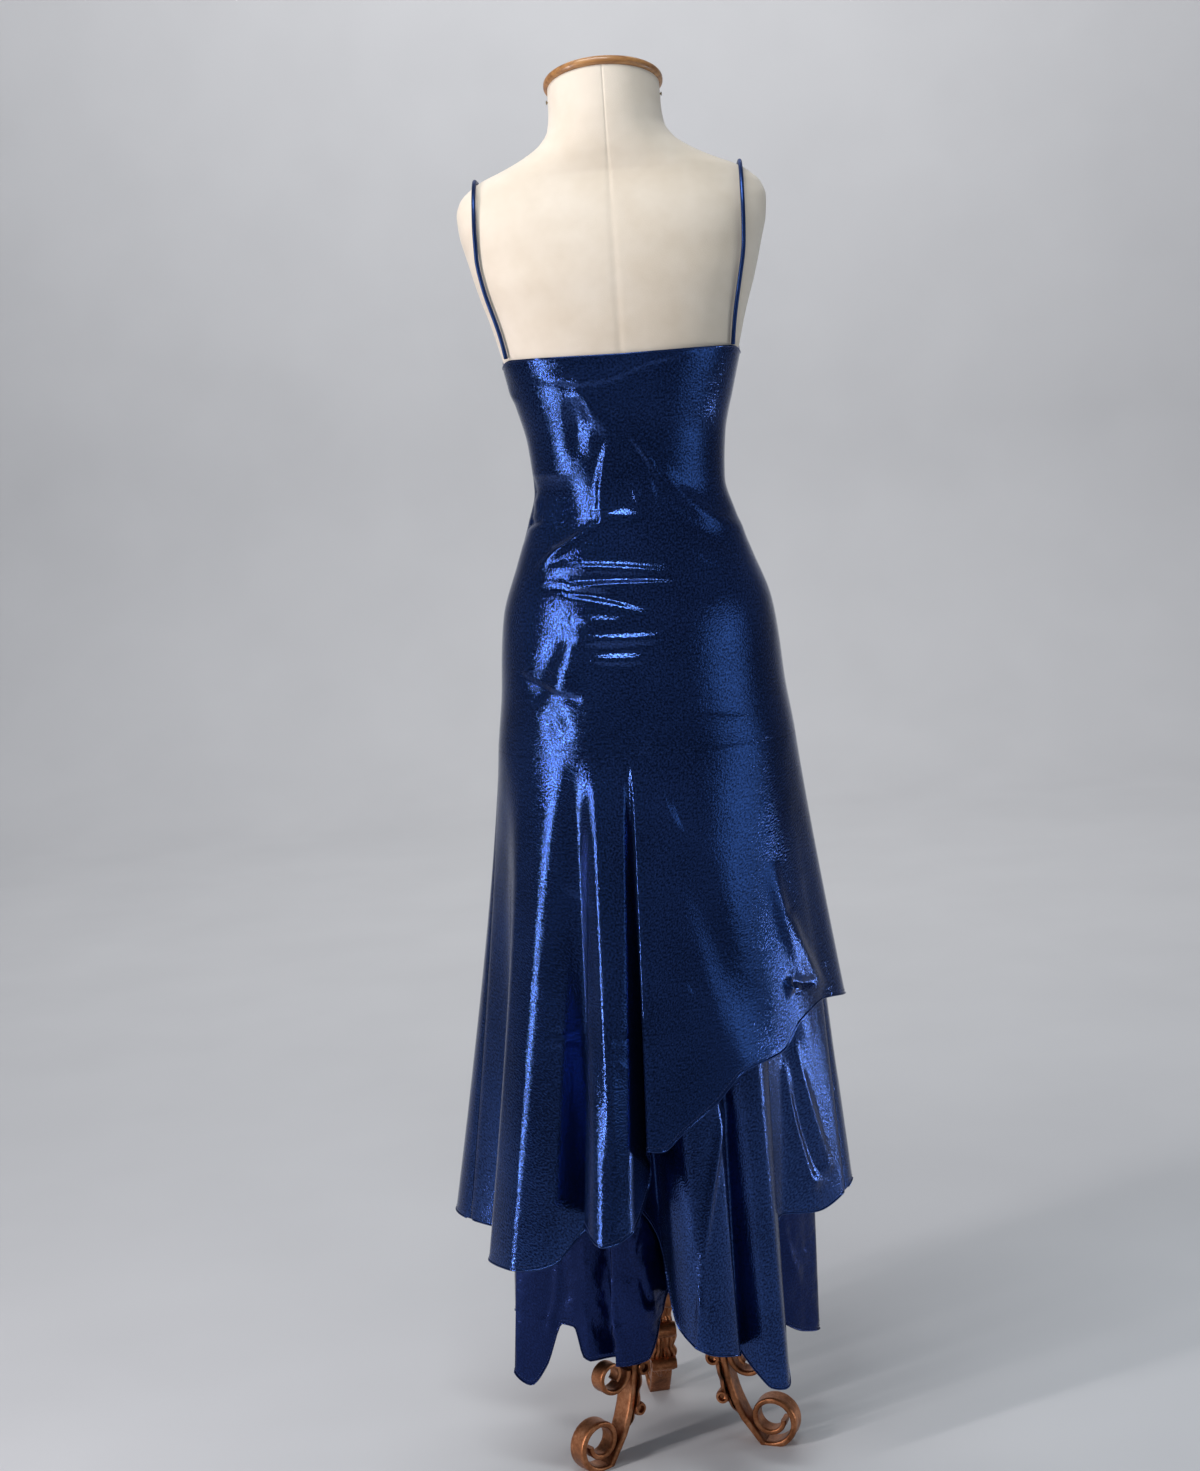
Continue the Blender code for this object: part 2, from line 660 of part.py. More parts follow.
def build_stand():
    axis = (STAND_X, STAND_Y)
    flange_top = FORM_BASE - SEAM_GAP
    flange_low = flange_top - FLANGE_THICK
    outline = ((POLE_RADIUS, POLE_FOOT), (POLE_RADIUS, flange_low - FLARE_HEIGHT),
               (FLARE_RADIUS, flange_low), (FLANGE_RADIUS, flange_low), (FLANGE_RADIUS, flange_top))
    ringed_solid("pole", [circle(axis, r, z, ROUND_SIDES) for r, z in outline], "cast_bronze")
    ringed_solid("hub", [circle(axis, row.radius, row.height, ROUND_SIDES) for row in HUB],
                 "cast_bronze")
    outs = [row.out for row in LEG_LINE]
    ups = [row.up for row in LEG_LINE]
    stops = list(range(len(LEG_LINE)))
    upper = [(hermite(stops, outs, s / 2.0), hermite(stops, ups, s / 2.0))
             for s in range(2 * len(LEG_LINE) - 2)]
    foot = scroll_line(FOOT_CENTRE, FOOT_RADIUS, FOOT_START, FOOT_TURNS, FOOT_SHRINK, FOOT_STEPS)
    second = scroll_line(SCROLL_CENTRE, SCROLL_RADIUS, SCROLL_START, SCROLL_TURNS, SCROLL_SHRINK,
                         SCROLL_STEPS)
    for number, azimuth in enumerate(LEG_AZIMUTHS, 1):
        cast_bar("leg_%d" % number, upper + foot, azimuth, LEG_THICK, FOOT_TIP_THICK, LEG_WIDTH,
                 "cast_bronze")
        cast_bar("leg_scroll_%d" % number, second, azimuth, SCROLL_THICK, SCROLL_TIP_THICK,
                 SCROLL_WIDTH, "cast_bronze")


def centre_on_footprint():
    """Put the origin on the floor under the middle of the whole object's plan."""
    bpy.context.view_layer.update()
    corners = [piece.matrix_world @ v.co
               for piece in bpy.context.scene.objects for v in piece.data.vertices]
    middle_x = 0.5 * (min(c.x for c in corners) + max(c.x for c in corners))
    middle_y = 0.5 * (min(c.y for c in corners) + max(c.y for c in corners))
    shift = Vector((-middle_x, -middle_y, 0.0))
    for piece in bpy.context.scene.objects:
        piece.location += shift


clear_scene()
build_bodice()
build_skirt()
build_straps()
build_form()
build_cap()
build_stand()
centre_on_footprint()
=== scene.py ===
"""Evening gown on a dress form: the finish of every piece.

The gown's back looks along -Y and the wearer's right is +X.  Angles go round the body in degrees:
0 is the middle of the back, 90 the right side, 180 the front.
"""

import math
from collections import namedtuple

import bmesh
import bpy
import numpy as np
from mathutils import Matrix, Vector


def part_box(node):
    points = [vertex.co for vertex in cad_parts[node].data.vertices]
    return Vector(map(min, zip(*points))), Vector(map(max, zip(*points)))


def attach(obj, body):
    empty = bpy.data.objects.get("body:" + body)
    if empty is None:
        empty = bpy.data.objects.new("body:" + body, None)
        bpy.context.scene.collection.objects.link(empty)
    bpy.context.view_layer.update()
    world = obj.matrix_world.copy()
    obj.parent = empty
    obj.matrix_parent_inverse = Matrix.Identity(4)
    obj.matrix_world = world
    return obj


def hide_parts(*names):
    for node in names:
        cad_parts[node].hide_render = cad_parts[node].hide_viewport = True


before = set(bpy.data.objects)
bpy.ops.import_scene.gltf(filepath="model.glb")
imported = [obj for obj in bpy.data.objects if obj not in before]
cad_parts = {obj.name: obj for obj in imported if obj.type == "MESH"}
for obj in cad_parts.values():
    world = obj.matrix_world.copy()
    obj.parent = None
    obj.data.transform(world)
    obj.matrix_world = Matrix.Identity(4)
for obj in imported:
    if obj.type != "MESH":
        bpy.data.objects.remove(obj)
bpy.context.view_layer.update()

# ---------------------------------------------------------------- back and front bodice
# A narrow slip bodice cut in two panels, back and front, from a thin metallic satin.  The panels
# are sewn at the sides and hang from two straps; the cloth is a little loose at the waist, so it
# breaks into slanting and level folds over the small of the back.
HIP_SEAM = 0.910         # height of the seam that carries the skirt
SEAM_GAP = 0.0003
WALL = 0.0010            # the satin with its turnings
SEAM_DIP = 0.0011        # a seam draws the cloth in by this much
SEAM_REACH = 0.0030
BUST_HEIGHT = 1.385
BUST_ACROSS = 0.066
BUST_DEPTH = 0.020
BUST_SPREAD = 0.046
BUST_SPREAD_UP = 0.0529
BUST_FADE = 1.6          # how soon the bust's fullness is complete, from the side round to the front
SHARP_ANGLE = 60.0       # degrees between faces that meet in a sharp edge

Section = namedtuple("Section", "height half_width back front square tilt")
BODY = (
    Section(0.910, 0.1835, 0.136, 0.112, 2.0, 0.0),
    Section(0.935, 0.1800, 0.136, 0.110, 2.0, 0.0),
    Section(0.975, 0.1745, 0.135, 0.107, 2.0, 0.0),
    Section(1.030, 0.1700, 0.131, 0.105, 2.0, 0.0),
    Section(1.074, 0.1640, 0.122, 0.102, 2.0, 0.0),
    Section(1.135, 0.1430, 0.100, 0.096, 2.0, 0.0),
    Section(1.185, 0.1255, 0.085, 0.091, 2.0, 0.0),
    Section(1.222, 0.1160, 0.080, 0.088, 2.0, 0.0),
    Section(1.275, 0.1195, 0.084, 0.094, 2.1, 0.0),
    Section(1.330, 0.1325, 0.092, 0.104, 2.2, 0.0),
    Section(1.376, 0.1445, 0.097, 0.107, 2.3, 0.0),
    Section(1.420, 0.1560, 0.101, 0.103, 2.3, 0.0),
    Section(1.458, 0.1680, 0.102, 0.095, 2.3, 0.0),
    Section(1.500, 0.1790, 0.098, 0.083, 2.2, 0.0),
    Section(1.530, 0.1860, 0.090, 0.072, 2.2, 0.0),
    Section(1.551, 0.1875, 0.082, 0.064, 2.1, 0.0),
    Section(1.568, 0.1820, 0.074, 0.058, 2.0, 0.0),
    Section(1.580, 0.1700, 0.069, 0.054, 2.0, 0.0),
    Section(1.589, 0.1560, 0.067, 0.052, 2.0, 0.0),
    Section(1.599, 0.1320, 0.067, 0.051, 2.0, 0.0),
    Section(1.611, 0.1060, 0.068, 0.052, 2.0, 2.0),
    Section(1.625, 0.0840, 0.068, 0.054, 2.0, 6.0),
    Section(1.641, 0.0730, 0.068, 0.056, 2.0, 10.0),
    Section(1.662, 0.0700, 0.066, 0.058, 2.0, 13.0),
    Section(1.688, 0.0695, 0.064, 0.060, 2.0, 16.0),
)

Edge = namedtuple("Edge", "angle height")
NECKLINE = (
    Edge(0.0, 1.376),
    Edge(62.0, 1.378),
    Edge(90.0, 1.370),
    Edge(112.0, 1.396),
    Edge(141.0, 1.440),
    Edge(180.0, 1.414),
)

# A crease runs from one point to another, seen from straight behind, and bows sideways midway.
# Lift is its height, below nothing for a trough, and spread is how soft it is.
Crease = namedtuple("Crease", "across height to_across to_height bow spread lift")
BACK_CREASES = (
    # under the top edge
    Crease(-0.098, 1.354, 0.004, 1.354, 0.004, 0.0060, 0.0022),
    Crease(-0.012, 1.352, 0.085, 1.374, -0.004, 0.0045, 0.0024),
    Crease(-0.075, 1.345, -0.030, 1.338, 0.002, 0.0035, -0.0014),
    Crease(-0.056, 1.350, -0.016, 1.286, 0.004, 0.0110, 0.0038),
    # from the middle of the back down to the right hip
    Crease(-0.030, 1.318, 0.029, 1.228, -0.006, 0.0045, -0.0018),
    Crease(-0.014, 1.300, 0.038, 1.222, -0.005, 0.0040, 0.0020),
    Crease(0.024, 1.236, 0.034, 1.178, 0.003, 0.0035, 0.0016),
    Crease(0.037, 1.240, 0.137, 1.160, 0.012, 0.0085, 0.0026),
    Crease(0.033, 1.222, 0.120, 1.140, 0.008, 0.0080, -0.0020),
    Crease(0.046, 1.170, 0.101, 1.126, 0.005, 0.0070, 0.0016),
    # a shallow hollow beside the left shoulder blade
    Crease(-0.055, 1.326, -0.058, 1.262, 0.002, 0.0120, -0.0036),
    # down the middle to the small of the back
    Crease(-0.014, 1.290, -0.036, 1.178, 0.006, 0.0060, 0.0040),
    Crease(0.004, 1.262, -0.010, 1.200, 0.003, 0.0090, -0.0022),
    Crease(0.008, 1.222, 0.016, 1.192, 0.004, 0.0050, 0.0030),
    Crease(-0.036, 1.186, 0.016, 1.184, -0.003, 0.0060, 0.0034),
    Crease(-0.036, 1.182, -0.112, 1.134, 0.004, 0.0050, 0.0046),
    # level folds across the small of the back
    Crease(-0.116, 1.131, 0.062, 1.114, -0.006, 0.0050, 0.0036),
    Crease(-0.100, 1.120, 0.044, 1.111, -0.002, 0.0050, -0.0026),
    Crease(-0.100, 1.104, 0.050, 1.107, -0.005, 0.0040, 0.0036),
    Crease(-0.126, 1.110, 0.010, 1.082, -0.006, 0.0050, -0.0044),
    Crease(-0.066, 1.060, -0.112, 0.962, 0.003, 0.0160, 0.0042),
    Crease(-0.096, 1.048, -0.126, 0.975, 0.003, 0.0140, -0.0030),
    Crease(-0.074, 1.072, -0.010, 1.068, 0.002, 0.0070, 0.0030),
    Crease(-0.072, 1.050, 0.034, 1.047, 0.001, 0.0050, 0.0034),
    Crease(-0.076, 1.037, 0.022, 1.036, 0.001, 0.0050, -0.0022),
    Crease(-0.062, 1.026, 0.010, 1.023, 0.001, 0.0048, 0.0030),
    # the hollow at the left hip
    Crease(-0.146, 1.006, -0.076, 0.978, 0.004, 0.0050, -0.0032),
    Crease(-0.140, 1.012, -0.096, 1.013, -0.004, 0.0045, 0.0018),
    Crease(-0.104, 0.985, -0.102, 0.930, 0.003, 0.0120, -0.0026),
    # the waist, where the cloth bags at the left
    Crease(-0.140, 1.186, -0.112, 1.189, 0.002, 0.0045, -0.0034),
    Crease(-0.132, 1.211, -0.112, 1.204, -0.003, 0.0080, 0.0030),
    Crease(-0.090, 1.236, -0.092, 1.160, 0.000, 0.0300, -0.0085),
    Crease(-0.146, 1.366, -0.128, 1.330, 0.003, 0.0050, 0.0022),
    # soft pulls above the hip seam
    Crease(0.010, 0.935, 0.050, 0.985, 0.004, 0.0060, -0.0010),
    Crease(-0.012, 0.912, 0.010, 0.960, 0.003, 0.0060, 0.0014),
    Crease(0.046, 0.958, 0.130, 0.948, -0.002, 0.0060, 0.0009),
)
FRONT_CREASES = (
    Crease(-0.090, 1.240, 0.010, 1.190, 0.006, 0.0080, 0.0026),
    Crease(0.096, 1.230, 0.020, 1.176, -0.005, 0.0070, 0.0024),
    Crease(-0.100, 1.160, 0.060, 1.150, -0.006, 0.0070, 0.0026),
    Crease(-0.070, 1.120, 0.100, 1.128, -0.005, 0.0065, -0.0022),
    Crease(-0.030, 1.414, 0.018, 1.330, 0.006, 0.0080, -0.0024),
    Crease(0.034, 1.418, 0.006, 1.340, -0.006, 0.0075, 0.0020),
    Crease(-0.120, 1.040, -0.030, 1.020, 0.004, 0.0080, 0.0020),
    Crease(0.050, 1.010, 0.130, 1.040, 0.004, 0.0080, -0.0018),
    Crease(-0.010, 0.912, 0.006, 0.972, 0.003, 0.0080, 0.0016),
)


def read_curve(stops, values, at):
    """Read a smooth curve through rows, with no overshoot past a ridge or a valley."""
    stops, values = np.array(stops, float), np.array(values, float)
    slopes = np.diff(values) / np.diff(stops)
    before, after = slopes[:-1], slopes[1:]
    total = np.where(before * after > 0.0, before + after, 1.0)
    inner = np.where(before * after > 0.0, 2.0 * before * after / total, 0.0)
    tangents = np.concatenate((slopes[:1], inner, slopes[-1:]))
    span = np.clip(np.searchsorted(stops, at, side="right") - 1, 0, len(stops) - 2)
    width = stops[span + 1] - stops[span]
    s = np.clip((at - stops[span]) / width, 0.0, 1.0)
    return (values[span] * (1 + 2 * s) * (1 - s) ** 2 + tangents[span] * width * s * (1 - s) ** 2
            + values[span + 1] * s * s * (3 - 2 * s) + tangents[span + 1] * width * s * s * (s - 1))


def body_points(angles, heights, inset=0.0):
    """Points on the gown's outer face, or that far inside it."""
    rows = {name: read_curve([r.height for r in BODY], [getattr(r, name) for r in BODY], heights)
            for name in Section._fields[1:]}
    sine, cosine = np.sin(np.radians(angles)), np.cos(np.radians(angles))
    power = 2.0 / rows["square"]
    depth = np.where(cosine > 0.0, rows["back"], rows["front"])
    across = (rows["half_width"] - inset) * np.sign(sine) * np.abs(sine) ** power
    along = -(depth - inset) * np.sign(cosine) * np.abs(cosine) ** power
    sideways = (np.abs(across) - BUST_ACROSS) / BUST_SPREAD
    upwards = (heights - BUST_HEIGHT) / BUST_SPREAD_UP
    bust = BUST_DEPTH * np.exp(-sideways ** 2 - upwards ** 2)
    along = along + np.where(cosine < 0.0, bust * np.minimum(1.0, -cosine * BUST_FADE), 0.0)
    rise = -along * np.tan(np.radians(rows["tilt"]))
    return np.stack((across, along, heights + rise), -1)


def neckline(angles):
    """Height of the gown's top edge."""
    turned = np.abs((angles + 180.0) % 360.0 - 180.0)
    return read_curve([e.angle for e in NECKLINE], [e.height for e in NECKLINE], turned)


def relief(across, heights, creases):
    """How far the creases lift the cloth at each place."""
    lift = np.zeros_like(across)
    for crease in creases:
        run_x, run_z = crease.to_across - crease.across, crease.to_height - crease.height
        length = math.hypot(run_x, run_z)
        dx, dz = across - crease.across, heights - crease.height
        share = (dx * run_x + dz * run_z) / length ** 2
        aside = (dx * run_z - dz * run_x) / length
        inside = np.clip(share, 0.0, 1.0)
        aside = aside - crease.bow * 4.0 * inside * (1.0 - inside)
        beyond = (share - inside) * length
        fade = np.sin(np.pi * np.clip(share * 0.9 + 0.05, 0.0, 1.0)) ** 0.7
        lift += crease.lift * fade * np.exp(-(aside ** 2 + beyond ** 2) / crease.spread ** 2)
    return lift


def outward(points):
    """The direction out of the cloth at each point of a grid, rows going downwards."""
    across, down = np.gradient(points, axis=1), np.gradient(points, axis=0)
    normal = np.cross(down, across)
    return normal / np.maximum(np.linalg.norm(normal, axis=-1, keepdims=True), 1e-12)


def add_object(name, data):
    """Put a mesh, a light or a camera in the scene."""
    added = bpy.data.objects.new(name, data)
    bpy.context.scene.collection.objects.link(added)
    return added


def lay_cloth(name, outer, wall):
    """A thin closed shell: the outer face, an inner face behind it, and its cut edges."""
    rows, columns = outer.shape[:2]
    inner = outer - outward(outer) * wall
    points = np.concatenate((outer.reshape(-1, 3), inner.reshape(-1, 3)))
    index = np.arange(rows * columns).reshape(rows, columns)
    a, b, c, d = index[:-1, :-1], index[:-1, 1:], index[1:, 1:], index[1:, :-1]
    face = np.stack((a, d, c, b), -1).reshape(-1, 4)
    behind = face[:, ::-1] + rows * columns
    rim = np.concatenate((index[0, :-1], index[:-1, -1], index[-1, :0:-1], index[:0:-1, 0]))
    after = np.roll(rim, -1)
    edge = np.stack((rim, after, after + rows * columns, rim + rows * columns), -1)
    mesh = bpy.data.meshes.new(name)
    mesh.from_pydata(points.tolist(), [], np.concatenate((face, behind, edge)).tolist())
    along = np.zeros((rows, columns))
    along[:, 1:] = np.cumsum(np.linalg.norm(np.diff(outer, axis=1), axis=-1), axis=1)
    down = np.zeros((rows, columns))
    down[1:] = np.cumsum(np.linalg.norm(np.diff(outer, axis=0), axis=-1), axis=0)
    flat = np.stack((along - along.mean(axis=1, keepdims=True), -down), -1).reshape(-1, 2)
    flat = np.concatenate((flat, flat))
    corners = np.zeros(len(mesh.loops), np.int32)
    mesh.loops.foreach_get("vertex_index", corners)
    mesh.uv_layers.new(name="cloth").data.foreach_set("uv", flat[corners].astype(np.float32).ravel())
    mesh.shade_smooth()
    mesh.set_sharp_from_angle(angle=math.radians(SHARP_ANGLE))
    mesh.validate()
    return add_object(name, mesh)


back_low, back_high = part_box("back_bodice")
GOWN_X = 0.5 * (back_low[0] + back_high[0])
GOWN_Y = back_low[1] + BODY[0].back
GOWN_AXIS = np.array((GOWN_X, GOWN_Y, 0.0))
FINENESS = 1.0
SIDE_TRIM = 0.08         # degrees left free on each side of a side seam


def bodice_grid(start, rows, columns, creases):
    """Points of a bodice panel from its top edge down to the hip seam."""
    angles = np.linspace(start + SIDE_TRIM, start + 180.0 - SIDE_TRIM, int(columns * FINENESS))
    share = np.linspace(0.0, 1.0, int(rows * FINENESS))[:, None]
    top = neckline(angles)[None, :]
    heights = top + (HIP_SEAM - top) * share
    points = body_points(np.broadcast_to(angles, heights.shape), heights)
    lift = relief(points[..., 0], heights, creases)
    ease = np.minimum(1.0, (heights - HIP_SEAM) / 0.012) * np.minimum(1.0, (top - heights) / 0.006)
    side = np.minimum(angles - start, start + 180.0 - angles)[None, :] * math.pi / 180.0 * 0.14
    lift = lift * ease * np.minimum(1.0, side / 0.010)
    lift = lift - SEAM_DIP * np.exp(-(side / SEAM_REACH) ** 2) * ease
    lift = lift - SEAM_DIP * 0.25 * np.exp(-((heights - HIP_SEAM) / SEAM_REACH) ** 2)
    return points + outward(points) * lift[..., None] + GOWN_AXIS


class Wire:
    """A value in a finish.  Sums and products written with it become Math nodes."""

    def __init__(self, finish, socket):
        self.finish, self.socket = finish, socket

    def math(self, operation, first, second):
        return self.finish.node("ShaderNodeMath", {"operation": operation}, {0: first, 1: second})

    def __add__(self, other):
        return self.math("ADD", self, other)

    __radd__ = __add__

    def __mul__(self, other):
        return self.math("MULTIPLY", self, other)


class Finish:
    """A material whose constants sit on the shader and whose patterns are wired to it."""

    def __init__(self, name, **constants):
        self.material = bpy.data.materials.new(name)
        self.material.use_nodes = True
        self.tree = self.material.node_tree
        self.shader = self.tree.nodes["Principled BSDF"]
        for key, value in constants.items():
            self.shader.inputs[key.replace("_", " ")].default_value = value

    def node(self, kind, settings=None, values=None, output=0):
        """Add a node, set it, fill its sockets with values or wires, and give one output."""
        made = self.tree.nodes.new(kind)
        for key, value in (settings or {}).items():
            if key == "stops":
                ramp = made.color_ramp.elements
                while len(ramp) < len(value):
                    ramp.new(0.5)
                for element, (place, colour) in zip(ramp, value):
                    element.position = place
                    element.color = (*colour, 1.0) if len(colour) == 3 else colour
            else:
                setattr(made, key, value)
        for key, value in (values or {}).items():
            if isinstance(value, Wire):
                self.tree.links.new(value.socket, made.inputs[key])
            else:
                made.inputs[key].default_value = value
        return Wire(self, made.outputs[output])

    def feed(self, **wires):
        """Wire patterns to the shader's sockets."""
        for key, wire in wires.items():
            self.tree.links.new(wire.socket, self.shader.inputs[key.replace("_", " ")])
        return self

    def cloth_uv(self):
        return self.node("ShaderNodeUVMap", {"uv_map": "cloth"})

    def place(self):
        return self.node("ShaderNodeTexCoord", output="Object")

    def stretched(self, vector, scale):
        return self.node("ShaderNodeMapping", {}, {"Vector": vector, "Scale": scale})

    def noise(self, vector, scale, detail=2.0, roughness=0.5):
        return self.node("ShaderNodeTexNoise", {},
                         {"Vector": vector, "Scale": scale, "Detail": detail, "Roughness": roughness})

    def ramp(self, value, *stops):
        return self.node("ShaderNodeValToRGB", {"stops": stops}, {"Fac": value})

    def blend(self, share, first, second):
        """Mix two colours; a Mix node's colour sockets are found by place."""
        return self.node("ShaderNodeMix", {"data_type": "RGBA"}, {0: share, 6: first, 7: second}, 2)

    def bump(self, height, distance, strength=1.0, under=None):
        values = {"Height": height, "Distance": distance, "Strength": strength}
        if under is not None:
            values["Normal"] = under
        return self.node("ShaderNodeBump", {}, values)


def satin_finish(name, deep, bright, roughness, glitter, crumple):
    """Metallic satin: fine warp threads, a glitter of single threads, and a soft crumple."""
    satin = Finish(name, Metallic=0.86, IOR=1.5, Sheen_Weight=0.03, Sheen_Roughness=0.35,
                   Sheen_Tint=(0.25, 0.40, 1.0, 1.0), Specular_IOR_Level=0.4)
    uv = satin.cloth_uv()
    threads = satin.noise(satin.stretched(uv, (2600.0, 500.0, 1.0)), 1.0, 1.0)
    grain = satin.noise(satin.stretched(uv, (430.0, 370.0, 1.0)), 1.0, 1.0, 0.5)
    cloud = satin.noise(satin.place(), 9.0, 3.0)
    soft = satin.noise(satin.place(), 26.0, 2.0)
    share = satin.ramp(cloud * 0.25 + grain * 0.75, (0.38, (0.0, 0.0, 0.0)), (0.64, (1.0, 1.0, 1.0)))
    colour = satin.blend(share, (*deep, 1.0), (*bright, 1.0))
    rough = roughness - 0.03 + grain * 0.06
    normal = satin.bump(soft, crumple)
    normal = satin.bump(grain * glitter + threads * 0.12, 0.00044, 1.0, normal)
    satin.feed(Base_Color=colour, Roughness=rough, Normal=normal)
    return satin.material


SATIN_DEEP = (0.006, 0.016, 0.060)
SATIN_BRIGHT = (0.030, 0.072, 0.250)
satin = satin_finish("satin", SATIN_DEEP, SATIN_BRIGHT, 0.09, 0.9, 0.0007)

back_bodice = lay_cloth("back_bodice_cloth", bodice_grid(-90.0, 200, 190, BACK_CREASES), WALL)
front_bodice = lay_cloth("front_bodice_cloth", bodice_grid(90.0, 110, 110, FRONT_CREASES), WALL)
for piece, node in ((back_bodice, "back_bodice"), (front_bodice, "front_bodice")):
    piece.data.materials.append(satin)
    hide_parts(node)
    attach(piece, "root")

# ---------------------------------------------------------------- flounces and underskirt
# Three bias layers sewn into one seam round the hips, each cut in two panels.  The upper flounce
# is long at the left and short at the right, the lower one slants the other way, and the plain
# underskirt shows below both.  All hems are narrow and rolled.
LAYER_GAP = 0.0075
FOLD_GROWTH = 1.12

Fold = namedtuple("Fold", "angle reach hem")
UPPER_FLOUNCE = (
    Fold(-178.0, 0.246, 0.400),
    Fold(-159.0, 0.190, 0.362),
    Fold(-139.0, 0.262, 0.330),
    Fold(-118.0, 0.205, 0.310),
    Fold(-98.0, 0.289, 0.306),
    Fold(-76.0, 0.212, 0.300),
    Fold(-61.0, 0.266, 0.298),
    Fold(-52.0, 0.264, 0.300),
    Fold(-46.0, 0.248, 0.301),
    Fold(-42.0, 0.226, 0.306),
    Fold(-39.0, 0.190, 0.332),
    Fold(-36.0, 0.170, 0.346),
    Fold(-28.0, 0.236, 0.366),
    Fold(-20.0, 0.262, 0.354),
    Fold(-13.5, 0.240, 0.363),
    Fold(-10.4, 0.162, 0.408),
    Fold(-7.8, 0.226, 0.459),
    Fold(-3.5, 0.221, 0.456),
    Fold(3.0, 0.215, 0.474),
    Fold(14.0, 0.206, 0.500),
    Fold(27.0, 0.203, 0.536),
    Fold(44.0, 0.199, 0.545),
    Fold(55.0, 0.200, 0.574),
    Fold(70.0, 0.205, 0.584),
    Fold(87.0, 0.227, 0.574),
    Fold(106.0, 0.192, 0.560),
    Fold(124.0, 0.226, 0.536),
    Fold(143.0, 0.184, 0.494),
    Fold(162.0, 0.232, 0.448),
)
LOWER_FLOUNCE = (
    Fold(-160.0, 0.165, 0.385),
    Fold(-139.0, 0.232, 0.400),
    Fold(-118.0, 0.180, 0.410),
    Fold(-98.0, 0.245, 0.420),
    Fold(-76.0, 0.190, 0.425),
    Fold(-56.0, 0.240, 0.425),
    Fold(-37.0, 0.150, 0.420),
    Fold(-22.0, 0.205, 0.405),
    Fold(-11.5, 0.118, 0.300),
    Fold(-3.0, 0.160, 0.212),
    Fold(8.0, 0.194, 0.190),
    Fold(20.0, 0.182, 0.177),
    Fold(27.0, 0.138, 0.165),
    Fold(30.5, 0.158, 0.142),
    Fold(34.5, 0.178, 0.121),
    Fold(40.0, 0.184, 0.117),
    Fold(47.0, 0.170, 0.119),
    Fold(55.0, 0.140, 0.275),
    Fold(64.0, 0.142, 0.308),
    Fold(80.0, 0.184, 0.300),
    Fold(98.0, 0.229, 0.320),
    Fold(118.0, 0.160, 0.320),
    Fold(139.0, 0.210, 0.315),
    Fold(159.0, 0.158, 0.335),
    Fold(179.0, 0.212, 0.365),
)
UNDERSKIRT = (
    Fold(-160.0, 0.140, 0.205),
    Fold(-138.0, 0.200, 0.190),
    Fold(-116.0, 0.155, 0.180),
    Fold(-96.0, 0.220, 0.170),
    Fold(-80.0, 0.206, 0.196),
    Fold(-72.0, 0.240, 0.176),
    Fold(-65.5, 0.238, 0.140),
    Fold(-61.0, 0.224, 0.126),
    Fold(-57.5, 0.208, 0.150),
    Fold(-53.0, 0.190, 0.206),
    Fold(-48.5, 0.182, 0.204),
    Fold(-45.5, 0.178, 0.165),
    Fold(-41.0, 0.172, 0.160),
    Fold(-31.0, 0.163, 0.158),
    Fold(-20.0, 0.144, 0.162),
    Fold(-10.0, 0.104, 0.235),
    Fold(4.0, 0.145, 0.215),
    Fold(20.0, 0.118, 0.200),
    Fold(38.0, 0.150, 0.190),
    Fold(60.0, 0.115, 0.180),
    Fold(80.0, 0.152, 0.138),
    Fold(89.0, 0.172, 0.130),
    Fold(98.0, 0.171, 0.166),
    Fold(106.0, 0.160, 0.196),
    Fold(118.0, 0.138, 0.175),
    Fold(140.0, 0.185, 0.195),
    Fold(161.0, 0.140, 0.200),
    Fold(180.0, 0.188, 0.205),
)
UPPER_CREASES = (
    Crease(-0.106, 0.890, -0.150, 0.640, 0.003, 0.0150, 0.0024),
    # marks of the box that the gown was folded in, and pulls under the hip seam
    Crease(-0.140, 0.585, -0.092, 0.580, 0.002, 0.0035, -0.0014),
    Crease(-0.148, 0.572, -0.100, 0.569, -0.002, 0.0035, 0.0014),
    Crease(-0.070, 0.590, -0.036, 0.586, 0.002, 0.0035, -0.0014),
    Crease(-0.060, 0.560, -0.034, 0.545, 0.002, 0.0035, 0.0012),
    Crease(-0.120, 0.760, -0.085, 0.735, 0.003, 0.0050, -0.0012),
    Crease(0.010, 0.880, 0.030, 0.820, 0.004, 0.0055, 0.0018),
    Crease(0.028, 0.862, 0.046, 0.812, 0.003, 0.0045, -0.0014),
    Crease(0.046, 0.780, 0.120, 0.560, 0.012, 0.0240, -0.0040),
    Crease(0.030, 0.740, 0.060, 0.560, -0.006, 0.0160, 0.0016),
    Crease(-0.066, 0.872, -0.070, 0.380, 0.002, 0.0075, 0.0034),
    Crease(-0.088, 0.840, -0.092, 0.420, 0.001, 0.0070, 0.0010),
    Crease(0.030, 0.650, 0.044, 0.628, 0.002, 0.0040, -0.0014),
    Crease(0.140, 0.760, 0.172, 0.620, 0.004, 0.0080, 0.0042),
    Crease(0.158, 0.700, 0.194, 0.600, 0.003, 0.0060, 0.0036),
    Crease(0.150, 0.632, 0.184, 0.610, 0.004, 0.0045, -0.0032),
    Crease(0.146, 0.622, 0.164, 0.610, 0.003, 0.0035, 0.0036),
    Crease(0.150, 0.604, 0.158, 0.628, -0.002, 0.0030, 0.0026),
    Crease(0.162, 0.606, 0.156, 0.622, -0.002, 0.0028, -0.0024),
)
